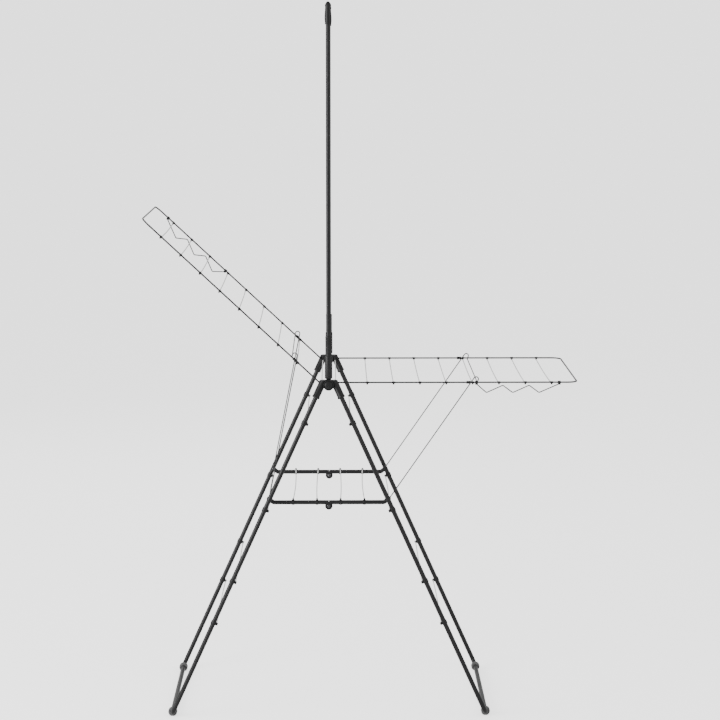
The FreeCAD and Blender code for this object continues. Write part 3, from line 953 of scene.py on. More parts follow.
TUBE_COAT = Finish(
    name="satin_powder_coat", slot=Slot.TUBE,
    colour=(0.0070, 0.0070, 0.0075), tint=(0.0100, 0.0100, 0.0106), worn=(0.05, 0.05, 0.051),
    roughness=0.38, specular=0.26, grain_scale=1500.0, grain_depth=0.000015, wear=0.15,
    gloss_spread=0.05, dust=0.03,
)
WIRE_COAT = Finish(
    name="satin_wire_coat", slot=Slot.WIRE,
    colour=(0.0080, 0.0080, 0.0085), tint=(0.0115, 0.0115, 0.0120), worn=(0.06, 0.06, 0.061),
    roughness=0.36, specular=0.26, grain_scale=1700.0, grain_depth=0.00001, wear=0.15,
    gloss_spread=0.05, dust=0.02,
)
STAY_COAT = Finish(
    name="satin_stay_coat", slot=Slot.WIRE,
    colour=(0.012, 0.012, 0.0124), tint=(0.016, 0.016, 0.0164), worn=(0.08, 0.08, 0.081),
    roughness=0.34, specular=0.3, grain_scale=1700.0, grain_depth=0.00001, wear=0.2,
    gloss_spread=0.05, dust=0.02,
)
MOULDED_BLACK = Finish(
    name="moulded_black_plastic", slot=Slot.PLASTIC,
    colour=(0.0060, 0.0060, 0.0064), tint=(0.0090, 0.0090, 0.0094), worn=(0.04, 0.04, 0.041),
    roughness=0.46, specular=0.26, grain_scale=2400.0, grain_depth=0.00002, wear=0.3,
    gloss_spread=0.06, dust=0.03,
)
FOOT_RUBBER = Finish(
    name="grey_foot_rubber", slot=Slot.RUBBER,
    colour=(0.080, 0.080, 0.081), tint=(0.105, 0.105, 0.106), worn=(0.18, 0.18, 0.178),
    roughness=0.68, specular=0.3, grain_scale=1300.0, grain_depth=0.00005, dust=0.15, wear=0.4,
)
PIN_STEEL = Finish(
    name="blackened_pin_steel", slot=Slot.PIN,
    colour=(0.05, 0.05, 0.052), tint=(0.075, 0.075, 0.078), worn=(0.3, 0.3, 0.31),
    roughness=0.33, specular=0.5, grain_scale=3000.0, grain_depth=0.00001, metallic=0.85, wear=0.6,
    dust=0.03,
)
LINE_COAT = LineCoating(
    name="coated_drying_line", slot=Slot.LINE,
    colour=(0.62, 0.62, 0.615), tint=(0.7, 0.7, 0.695), worn=(0.5, 0.5, 0.49),
    roughness=0.5, specular=0.4, grain_scale=1200.0, grain_depth=0.00005, wear=0.2, dust=0.08,
)


# Sub-assemblies


class Fitter:
    """Dresses finished pieces and fits them to the bodies of the frame."""

    def __init__(self, effects: Effects) -> None:
        """Keep the effects, and the materials that are already built."""
        self.effects = effects
        self.materials: dict[str, bpy.types.Material] = {}

    def material(self, finish: Finish) -> bpy.types.Material:
        """A finish's material, built when it is first needed.

        Args:
            finish: The finish.

        Returns:
            Its material.
        """
        if finish.name not in self.materials:
            self.materials[finish.name] = finish.material(self.effects)
        return self.materials[finish.name]

    def fit(self, piece: bpy.types.Object, body: str, finish: Finish, *nodes: str) -> None:
        """Smooth and dress a piece, and let it ride on a body in place of its plain nodes.

        Args:
            piece: The finished piece.
            body: The body that it moves with.
            finish: Its finish.
            nodes: The plain nodes that it stands for.
        """
        Bench.smooth(piece)
        piece.data.materials.clear()
        piece.data.materials.append(self.material(finish))
        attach(piece, body)
        if nodes:
            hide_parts(*nodes)
        log.info("%s on %s, %d faces", piece.name, body, len(piece.data.polygons))


@dataclass(frozen=True)
class HangingRod:
    """The tall inverted U that lifts out of the hubs: two uprights, two elbows and the top rod."""

    measures: Measures
    fitter: Fitter
    body: str = "hanging_rod"
    tube_wall: float = 0.001
    tube_sides: int = 32
    bore_depth: float = 0.06
    upright_seat: float = 0.026
    rod_seat: float = 0.012
    rod_drop: float = 0.0105
    elbow_height: float = 0.062
    elbow_outline: tuple[Station, ...] = (
        (0.0077, 0.0), (0.0084, 0.0003), (0.0087, 0.0012), (0.0087, 0.0030), (0.0083, 0.0036),
        (0.0088, 0.0070), (0.0093, 0.0120), (0.0096, 0.0175), (0.0095, 0.0240), (0.0090, 0.0310),
        (0.0084, 0.0375), (0.0080, 0.0440), (0.0076, 0.0500), (0.0068, 0.0550), (0.0054, 0.0588),
        (0.0036, 0.0609), (0.0016, 0.0619), (0.0002, 0.0620),
    )
    arm_outline: tuple[Station, ...] = (
        (0.0066, 0.0), (0.0082, 0.0335), (0.0086, 0.0342), (0.0088, 0.0350), (0.0088, 0.0372),
        (0.0086, 0.0379), (0.0080, 0.0380),
    )

    def build(self) -> None:
        """Build and fit the rod's pieces."""
        for side in Side:
            self.build_upright(side)
            self.build_elbow(side)
        self.build_top_rod()

    def build_upright(self, side: Side) -> None:
        """An upright tube with its cut lower end open.

        Args:
            side: Its side.
        """
        m = self.measures
        y = side.value * m.leg_plane
        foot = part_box(f"{side.word}_upright")[0].z
        piece = Bench.bent(
            f"upright_tube_{side.word}",
            [Vector((0, y, foot)), Vector((0, y, m.height - self.upright_seat))], [],
            m.tube_radius, self.tube_sides, (m.tube_radius - self.tube_wall, self.bore_depth),
        )
        self.fitter.fit(piece, self.body, TUBE_COAT, f"{side.word}_upright")

    def build_elbow(self, side: Side) -> None:
        """A moulded corner: a pear-shaped socket with a lip, and a short flared arm.

        Args:
            side: Its side.
        """
        m = self.measures
        plane = Vector((0, side.value * m.leg_plane, 0))
        foot = plane + Vector((0, 0, m.height - self.elbow_height))
        axis = plane + Vector((0, 0, m.height - self.rod_drop))
        inward = Vector((0, -side.value, 0))
        pear = Bench.turned(
            f"rod_elbow_{side.word}", self.elbow_outline, foot, Vector((0, 0, 1)), sides=40
        )
        arm = Bench.turned("arm", self.arm_outline, axis, inward, sides=40)
        Bench.combine(pear, Join.UNION, arm)
        self.fitter.fit(pear, self.body, MOULDED_BLACK, f"{side.word}_elbow")

    def build_top_rod(self) -> None:
        """The straight rod that the clothes hangers hook over."""
        m = self.measures
        reach = m.leg_plane - self.rod_seat
        height = m.height - self.rod_drop
        piece = Bench.bent(
            "top_hanging_rod", [Vector((0, -reach, height)), Vector((0, reach, height))], [],
            m.tube_radius, self.tube_sides, (m.tube_radius - self.tube_wall, self.rod_seat),
        )
        self.fitter.fit(piece, self.body, TUBE_COAT, "top_rod")


@dataclass(frozen=True)
class Hub:
    """A hub: the socket for the rod, the plate on the axle, the collar, the axle and its cap."""

    measures: Measures
    fitter: Fitter
    side: Side
    body: str = "root"
    axle_radius: float = 0.004
    disc_radius: float = 0.0145
    plate_half: float = 0.002
    plate_edge: float = 0.0006
    neck_half: float = 0.007
    neck_thick: float = 0.0018
    neck_edge: float = 0.0005
    neck_top: float = 0.021
    middle: float = 0.0003
    socket_foot: float = 0.017
    socket_top: float = 0.081
    socket_radius: float = 0.0105
    socket_mouth: tuple[Station, ...] = ((0.0008, 0.0), (0.00024, 0.00024), (0.0, 0.0008))
    socket_base: tuple[Station, ...] = (
        (0.0, 0.0035), (0.0006, 0.0016), (0.0020, 0.0005), (0.0040, 0.0),
    )
    rod_foot: float = 0.027
    collar_top: float = 0.136
    collar_radius: float = 0.009
    collar_mouth: tuple[Station, ...] = (
        (0.0, 0.0052), (-0.0003, 0.0046), (-0.0003, 0.0018), (0.0, 0.0008), (0.0008, 0.0),
    )
    mouth_flare: float = 0.0004
    bore_radius: float = 0.0066
    cap_start: float = 0.0104
    cap_outline: tuple[Station, ...] = (
        (0.0135, 0.0), (0.0142, 0.0002), (0.0145, 0.0008), (0.0145, 0.0024), (0.0142, 0.0033),
        (0.0135, 0.0038), (0.0129, 0.0036), (0.0126, 0.0028), (0.0124, 0.0020), (0.0117, 0.0019),
        (0.0114, 0.0026), (0.0106, 0.0038), (0.0092, 0.0047), (0.0070, 0.0052), (0.0044, 0.0054),
        (0.0020, 0.0055), (0.0003, 0.0055),
    )
    washer_radius: float = 0.007
    washer_thick: float = 0.002
    axle_edge: float = 0.0004

    @property
    def axle(self) -> Vector:
        """The middle of the axle, in the leg plane."""
        return Vector((0, self.side.value * self.measures.leg_plane, self.measures.axle_height))

    @property
    def outward(self) -> Vector:
        """The direction away from the airer's middle."""
        return Vector((0, self.side.value, 0))

    def build(self) -> None:
        """Build and fit the hub's pieces."""
        self.build_hub()
        self.build_collar()
        self.build_axle()
        self.build_cap()

    def build_hub(self) -> None:
        """The socket and the plate, moulded in one."""
        upwards = Vector((0, 0, 1))
        foot, top, outer = self.socket_foot, self.socket_top, self.socket_radius
        outline = [
            (self.middle, self.rod_foot), (self.bore_radius, self.rod_foot),
            (self.bore_radius, top),
            *((outer - inset, top - below) for inset, below in self.socket_mouth),
            *((outer - inset, foot + above) for inset, above in self.socket_base),
            (self.middle, foot),
        ]
        socket = Bench.turned(f"hub_body_{self.side.word}", outline, self.axle, upwards)
        plate = Bench.turned(
            "plate",
            Bench.drum(self.disc_radius, -self.plate_half, self.plate_half, self.plate_edge),
            self.axle, self.outward, sides=48,
        )
        neck = Bench.block(
            "neck", self.axle - Vector((self.neck_half, self.neck_thick, 0)),
            self.axle + Vector((self.neck_half, self.neck_thick, self.neck_top)), self.neck_edge,
        )
        Bench.combine(socket, Join.UNION, plate, neck)
        self.fitter.fit(socket, self.body, MOULDED_BLACK, f"{self.side.word}_hub")

    def build_collar(self) -> None:
        """The slim collar that guides the rod, with a lip round its mouth."""
        foot, top, outer = self.socket_top, self.collar_top, self.collar_radius
        outline = [
            (self.bore_radius, foot), (outer, foot),
            *((outer - inset, top - below) for inset, below in self.collar_mouth),
            (self.bore_radius + self.mouth_flare, top), (self.bore_radius, top - self.mouth_flare),
            (self.bore_radius, foot),
        ]
        piece = Bench.turned(f"rod_collar_{self.side.word}", outline, self.axle, Vector((0, 0, 1)))
        self.fitter.fit(piece, self.body, MOULDED_BLACK, f"{self.side.word}_rod_collar")

    def build_axle(self) -> None:
        """The axle, with its retaining washer on the inside."""
        start, end = self.cap_start, -self.cap_start - self.washer_thick
        outline = [
            (self.axle_radius, start), (self.axle_radius, -self.cap_start),
            *Bench.drum(self.washer_radius, -self.cap_start, end, self.axle_edge),
            (self.axle_radius, end), (self.axle_radius - self.axle_edge, end - self.axle_edge),
            (self.axle_edge, end - self.axle_edge),
        ]
        piece = Bench.turned(f"hub_axle_{self.side.word}", outline, self.axle, self.outward)
        self.fitter.fit(piece, self.body, PIN_STEEL, f"{self.side.word}_axle")

    def build_cap(self) -> None:
        """The domed cap over the axle, with a raised rim round its dome."""
        face = self.axle + self.outward * self.cap_start
        piece = Bench.turned(
            f"axle_cap_{self.side.word}", self.cap_outline, face, self.outward, sides=64
        )
        self.fitter.fit(piece, self.body, MOULDED_BLACK, f"{self.side.word}_axle_cap")


@dataclass(frozen=True)
class Leg:
    """A leg frame with its knuckles, feet, line clips, drying lines and pins."""

    measures: Measures
    fitter: Fitter
    hand: Hand
    tube_start: float = 0.0112
    bend: float = 0.022
    sleeve_outline: tuple[Station, ...] = (
        (0.0002, 0.0165), (0.0100, 0.0165), (0.0100, -0.0425), (0.0104, -0.0431),
        (0.0107, -0.0440), (0.0107, -0.0468), (0.0104, -0.0477), (0.0096, -0.0480),
        (0.0067, -0.0480),
    )
    eye_radius: float = 0.013
    eye_edge: float = 0.0007
    eye_near: float = 0.0023
    eye_far: float = 0.0083
    web_top: float = 0.0068
    web_bottom: float = -0.0128
    web_inset: float = 0.0002
    web_edge: float = 0.0008
    shoulder_start: float = 0.006
    shoulder_lift: float = 0.004
    shoulder_inset: float = 0.0004
    shoulder_corner: float = 0.0006
    shoulder_rise: float = 0.0137
    shoulder_edge: float = 0.0007
    relief_radius: float = 0.0153
    relief_reach: float = 0.012
    foot_radius: float = 0.0126
    foot_width: float = 0.014
    foot_gap: float = 0.0005
    foot_play: float = 0.0002
    foot_edge: float = 0.0012
    foot_groove: float = 0.0011
    foot_ribs: int = 4
    rib_foot: float = 0.12
    rib_crest: float = 0.26
    line_places: tuple[float, ...] = (0.126, 0.394, 0.617, 0.747)
    line_inset: float = 0.010
    line_sags: tuple[Station, ...] = (
        (0.0, -0.003), (0.0015, -0.004), (-0.001, -0.003), (0.001, -0.004),
    )
    clip_play: float = 0.0001
    clip_wall: float = 0.0008
    clip_edge: float = 0.0007
    clip_length: float = 0.012
    lug_half: float = 0.0035
    lug_depth: float = 0.004
    lug_end: float = 0.0026
    lug_foot: float = 0.0004
    lug_edge: float = 0.0008
    seam_half: float = 0.0009
    seam_inset: float = 0.0006
    seam_stand: float = 0.0005
    seam_edge: float = 0.0004
    hub_line: Station = (0.0155, 0.0095)
    hub_line_inset: float = 0.010
    hub_line_sag: float = 0.003
    pin_radius: float = 0.0025
    pin_head: float = 0.0045
    pin_edge: float = 0.0004
    pin_dome: tuple[Station, ...] = (
        (0.0045, 0.0004), (0.0045, 0.0008), (0.00387, 0.0014), (0.00225, 0.0019), (0.0003, 0.0020),
    )
    pin_flare: float = 0.0003
    layer_gap: float = 0.0003

    @property
    def body(self) -> str:
        """The leg's body."""
        return f"{self.hand.word}_leg"

    def place(self, piece: bpy.types.Object) -> bpy.types.Object:
        """Move a piece from the leg's own directions to where the leg stands."""
        return Bench.placed(piece, self.measures.leg_matrix(self.hand))

    def build(self) -> None:
        """Build and fit the leg's pieces."""
        self.build_frame()
        self.build_feet()
        self.build_clips()
        self.build_lines()
        self.build_pins()
        for side in Side:
            self.build_knuckle(side)

    def build_frame(self) -> None:
        """Two leg tubes and the bottom rail, bent from one tube."""
        m = self.measures
        points = [
            Vector((m.leg_offset, side * m.leg_plane, -down))
            for side, down in (
                (-1, self.tube_start), (-1, m.leg_length), (1, m.leg_length), (1, self.tube_start)
            )
        ]
        piece = Bench.bent(
            f"leg_tube_{self.hand.word}", points, [self.bend, self.bend], m.tube_radius, sides=32
        )
        self.fitter.fit(self.place(piece), self.body, TUBE_COAT, f"{self.hand.word}_leg_frame")

    def build_feet(self) -> None:
        """Two ribbed rings on the bottom rail, flat where they stand."""
        m = self.measures
        middle = m.on_leg(m.leg_offset, m.leg_length, 0, self.hand)
        start = m.leg_plane - self.bend - self.foot_gap
        rib = self.foot_width / self.foot_ribs
        bore = m.tube_radius + self.foot_play
        outer = [(bore, 0.0), (self.foot_radius - self.foot_edge, 0.0)]
        for index in range(self.foot_ribs):
            low, high = rib * index, rib * (index + 1)
            outer += [
                (self.foot_radius - self.foot_groove, low + rib * self.rib_foot),
                (self.foot_radius, low + rib * self.rib_crest),
                (self.foot_radius, high - rib * self.rib_crest),
                (self.foot_radius - self.foot_groove, high - rib * self.rib_foot),
            ]
        outer += [
            (self.foot_radius - self.foot_edge, self.foot_width), (bore, self.foot_width),
            (bore, 0.0),
        ]
        feet = []
        for side in Side:
            base = Vector((middle.x, side.value * start, middle.z))
            ring = Bench.turned("foot", outer, base, Vector((0, -side.value, 0)), sides=48)
            feet.append(Bench.trim(ring, Vector((0, 0, 0)), Vector((0, 0, -1))))
        piece = Bench.gathered(f"foot_rings_{self.hand.word}", feet)
        self.fitter.fit(piece, self.body, FOOT_RUBBER, f"{self.hand.word}_feet")

    def build_clips(self) -> None:
        """The clips that hold the leg lines, each a collar with a lug that grips the line."""
        m = self.measures
        half = self.clip_length / 2
        across = m.leg_offset - self.line_inset
        outer = m.tube_radius + self.clip_wall
        outline = Bench.collar(outer, m.tube_radius + self.clip_play, -half, half, self.clip_edge)
        ring = Bench.turned("clip", outline, Vector((m.leg_offset, 0, 0)), Vector((0, 0, 1)))
        lug_top = m.leg_offset - m.tube_radius - self.lug_foot
        lug = Bench.block(
            "lug", (across - self.lug_end, -self.lug_depth, -self.lug_half),
            (lug_top, self.lug_depth, self.lug_half), self.lug_edge,
        )
        seam_low = m.leg_offset + m.tube_radius - self.seam_inset
        seam_high = m.leg_offset + outer + self.seam_stand
        seam_end = half - self.seam_inset
        seam = Bench.block(
            "seam", (seam_low, -self.seam_half, -seam_end), (seam_high, self.seam_half, seam_end),
            self.seam_edge,
        )
        Bench.combine(ring, Join.UNION, lug, seam)
        clips = [
            Bench.copied(ring, Matrix.Translation((0, side.value * m.leg_plane, -down)))
            for down in self.line_places for side in Side
        ]
        bpy.data.objects.remove(ring)
        piece = Bench.gathered(f"leg_line_clips_{self.hand.word}", clips)
        self.fitter.fit(self.place(piece), self.body, MOULDED_BLACK, f"{self.hand.word}_leg_clips")

    def build_lines(self) -> None:
        """The drying lines across the leg, and the short one between the knuckles."""
        m = self.measures
        across = m.leg_offset - self.line_inset
        reach = m.leg_plane - self.lug_depth
        lines = [
            Bench.slack_line(
                "line", Vector((across, -reach, -down)), Vector((across, reach, -down)),
                m.line_radius, Vector((aside, 0, below)),
            )
            for down, (aside, below) in zip(self.line_places, self.line_sags)
        ]
        across, down = self.hub_line
        reach = m.leg_plane - self.hub_line_inset
        lines.append(Bench.slack_line(
            "line", Vector((across, -reach, -down)), Vector((across, reach, -down)),
            m.line_radius, Vector((0, 0, -self.hub_line_sag)),
        ))
        piece = Bench.gathered(f"leg_drying_lines_{self.hand.word}", lines)
        self.fitter.fit(self.place(piece), self.body, LINE_COAT, f"{self.hand.word}_leg_lines")

    def build_pins(self) -> None:
        """The pins for the stay, and on the left for the shelf bar, with spacer and domed head."""
        m = self.measures
        if self.hand is Hand.LEFT:
            head = m.bar_layer - m.bar_radius - self.layer_gap
        else:
            head = m.stay_layer - m.wire_radius - self.layer_gap
        spacer = m.stay_layer + m.wire_radius + self.layer_gap
        start = m.leg_plane - m.tube_radius + self.pin_edge
        outline = [
            *Bench.drum(self.pin_head, start, spacer, self.pin_edge),
            (self.pin_radius, spacer), (self.pin_radius, head),
            (self.pin_head - self.pin_flare, head),
            *((radius, head - below) for radius, below in self.pin_dome),
        ]
        pins = []
        for side in Side:
            base = Vector((m.leg_offset, 0, -m.stay_down))
            pins.append(Bench.turned("pin", outline, base, Vector((0, side.value, 0)), sides=24))
        piece = Bench.gathered(f"leg_pins_dressed_{self.hand.word}", pins)
        self.fitter.fit(self.place(piece), self.body, PIN_STEEL, f"{self.hand.word}_leg_pins")

    def build_knuckle(self, side: Side) -> None:
        """The moulded knuckle: a sleeve over the tube, and an eye on the axle.

        Args:
            side: Its side.
        """
        m = self.measures
        plane = side.value * m.leg_plane
        if self.hand is Hand.LEFT:
            depths = (self.eye_near, self.eye_far)
            clear = (-self.relief_reach, self.eye_near)
        else:
            depths = (-self.eye_far, -self.eye_near)
            clear = (-self.eye_near, self.relief_reach)
        inward = Vector((0, -side.value, 0))
        axle = Vector((0, plane, 0))
        sleeve = Bench.turned(
            f"knuckle_{self.hand.word}_{side.word}", self.sleeve_outline,
            Vector((m.leg_offset, plane, 0)), Vector((0, 0, 1)), sides=40,
        )
        eye = Bench.turned(
            "eye", Bench.drum(self.eye_radius, *depths, self.eye_edge), axle, inward, sides=48
        )
        layers = sorted(plane + inward.y * depth for depth in depths)
        web = Bench.block(
            "web", (0, layers[0] + self.web_inset, self.web_bottom),
            (m.leg_offset, layers[1] - self.web_inset, self.web_top), self.web_edge,
        )
        relief = Bench.turned(
            "relief", [(self.relief_radius, clear[0]), (self.relief_radius, clear[1])],
            axle, inward, sides=48,
        )
        shoulder_foot = self.web_bottom + self.shoulder_lift
        shoulder = Bench.block(
            "shoulder", (self.shoulder_start, layers[0] + self.shoulder_inset, shoulder_foot),
            (m.leg_offset, layers[1] - self.shoulder_inset, self.sleeve_outline[0][1]),
            self.shoulder_corner,
        )
        level = Vector((math.sin(m.leg_angle), 0, math.cos(m.leg_angle)))
        Bench.trim(sleeve, level * self.shoulder_rise, level, self.shoulder_edge)
        Bench.trim(shoulder, level * (self.shoulder_rise - self.shoulder_edge / 2), level)
        Bench.combine(sleeve, Join.CUT, relief)
        Bench.combine(sleeve, Join.UNION, eye, web, shoulder)
        node = f"{self.hand.word}_{side.word}_knuckle"
        self.fitter.fit(self.place(sleeve), self.body, MOULDED_BLACK, node)


@dataclass(frozen=True)
class Shelf:
    """One half of the shelf: its two half bars, its clips and lines, and the hinge pins."""

    measures: Measures
    fitter: Fitter
    hand: Hand
    bar_drop: float = 0.010
    bar_inset: float = 0.012
    bar_bend: float = 0.008
    bar_gap: float = 0.0003
    eye_radius: float = 0.0068
    eye_half: float = 0.0057
    eye_edge: float = 0.0012
    barrel_radius: float = 0.0105
    barrel_edge: float = 0.0007
    barrel_near: float = 0.0003
    barrel_far: float = 0.0056
    relief_radius: float = 0.0109
    pin_radius: float = 0.0025
    pin_dome: tuple[Station, ...] = (
        (0.0003, 0.0016), (0.002475, 0.0014), (0.00396, 0.0009), (0.0045, 0.0003), (0.0043, 0.0),
    )
    layer_gap: float = 0.0003
    line_places: tuple[float, ...] = (0.033, 0.0997)
    line_sags: tuple[Station, ...] = ((0.002, -0.0035), (-0.003, -0.003))
    line_rise: float = 0.0081
    clip_radius: float = 0.0074
    clip_play: float = 0.0001
    clip_edge: float = 0.0006
    clip_length: float = 0.007
    lug_size: tuple[float, float, float] = (0.005, 0.008, 0.0044)
    lug_rise: float = 0.0004
    lug_edge: float = 0.0007

    @property
    def body(self) -> str:
        """The half shelf's body."""
        return f"{self.hand.word}_shelf"

    @property
    def pivot(self) -> Vector:
        """The leg pin, as on the right, in the middle plane."""
        m = self.measures
        return m.on_leg(m.leg_offset, m.stay_down, 0, Hand.RIGHT)

    @property
    def bar_height(self) -> float:
        """The height of the bars' middle line."""
        return self.pivot.z - self.bar_drop

    def place(self, piece: bpy.types.Object) -> bpy.types.Object:
        """Mirror a piece that was built on the right, if it belongs to the left."""
        return Bench.placed(piece, Matrix.Scale(self.hand.value, 4, Vector((1, 0, 0))))

    def build(self) -> None:
        """Build and fit the half shelf's pieces."""
        for side in Side:
            self.build_bar(side)
        self.build_clips()
        self.build_lines()
        if self.hand is Hand.LEFT:
            self.build_hinge_pins()

    def build_bar(self, side: Side) -> None:
        """A half bar with a boss at its leg pin and a barrel at the shelf's middle.

        Args:
            side: Its side.
        """
        m = self.measures
        layer = Vector((0, side.value * m.bar_layer, 0))
        pivot = self.pivot + layer
        hinge = layer + Vector((0, 0, m.hinge_height))
        outward = Vector((0, side.value, 0))
        bar = Bench.bent(
            f"shelf_bar_{self.hand.word}_{side.word}",
            [
                pivot, Vector((pivot.x - self.bar_inset, pivot.y, self.bar_height)),
                Vector((self.bar_gap, pivot.y, self.bar_height)),
            ],
            [self.bar_bend], m.bar_radius, sides=32,
        )
        eye = Bench.turned(
            "eye", Bench.drum(self.eye_radius, -self.eye_half, self.eye_half, self.eye_edge),
            pivot, outward, sides=40,
        )
        spans = {
            Hand.LEFT: (self.barrel_near, self.barrel_far),
            Hand.RIGHT: (-self.barrel_far, -self.barrel_near),
        }
        other = Hand.RIGHT if self.hand is Hand.LEFT else Hand.LEFT
        low, high = spans[other]
        radius, gap = self.relief_radius, self.layer_gap
        room = [(radius, low - gap), (radius, high + gap)]
        relief = Bench.turned("relief", room, hinge, outward, sides=48)
        drum = Bench.drum(self.barrel_radius, *spans[self.hand], self.barrel_edge)
        barrel = Bench.turned("barrel", drum, hinge, outward, sides=48)
        Bench.combine(bar, Join.CUT, relief)
        Bench.combine(bar, Join.UNION, eye, barrel)
        node = f"{self.hand.word}_{side.word}_shelf_bar"
        self.fitter.fit(self.place(bar), self.body, MOULDED_BLACK, node)

    def build_clips(self) -> None:
        """The collars on the bars that hold the ends of the shelf lines."""
        m = self.measures
        half = self.clip_length / 2
        bore = m.bar_radius + self.clip_play
        outline = Bench.collar(self.clip_radius, bore, -half, half, self.clip_edge)
        ring = Bench.turned("clip", outline, Vector((0, 0, 0)), Vector((1, 0, 0)))
        width, depth, height = self.lug_size
        foot = m.bar_radius + self.lug_rise
        lug = Bench.block(
            "lug", (-width / 2, -depth / 2, foot), (width / 2, depth / 2, foot + height),
            self.lug_edge,
        )
        Bench.combine(ring, Join.UNION, lug)
        clips = [
            Bench.copied(
                ring, Matrix.Translation((place, side.value * m.bar_layer, self.bar_height))
            )
            for place in self.line_places for side in Side
        ]
        bpy.data.objects.remove(ring)
        piece = Bench.gathered(f"shelf_line_clips_{self.hand.word}", clips)
        node = f"{self.hand.word}_shelf_clips"
        self.fitter.fit(self.place(piece), self.body, MOULDED_BLACK, node)

    def build_lines(self) -> None:
        """The drying lines between the front and rear half bars."""
        m = self.measures
        reach = m.bar_layer - self.lug_size[1] / 2
        height = self.bar_height + self.line_rise
        lines = [
            Bench.slack_line(
                "line", Vector((place, -reach, height)), Vector((place, reach, height)),
                m.line_radius, Vector((aside, 0, below)),
            )
            for place, (aside, below) in zip(self.line_places, self.line_sags)
        ]
        piece = Bench.gathered(f"shelf_drying_lines_{self.hand.word}", lines)
        self.fitter.fit(self.place(piece), self.body, LINE_COAT, f"{self.hand.word}_shelf_lines")

    def build_hinge_pins(self) -> None:
        """The pins of the two middle hinges, domed at both ends."""
        m = self.measures
        reach = m.bar_radius + self.layer_gap
        half = [(radius, reach + out) for radius, out in self.pin_dome]
        half.append((self.pin_radius, reach))
        outline = half + [(radius, -along) for radius, along in reversed(half)]
        pins = [
            Bench.turned(
                "pin", outline, Vector((0, side.value * m.bar_layer, m.hinge_height)),
                Vector((0, 1, 0)), sides=28,
            )
            for side in Side
        ]
        piece = Bench.gathered("shelf_hinge_pin_pair", pins)
        self.fitter.fit(piece, self.body, PIN_STEEL, "shelf_hinge_pins")


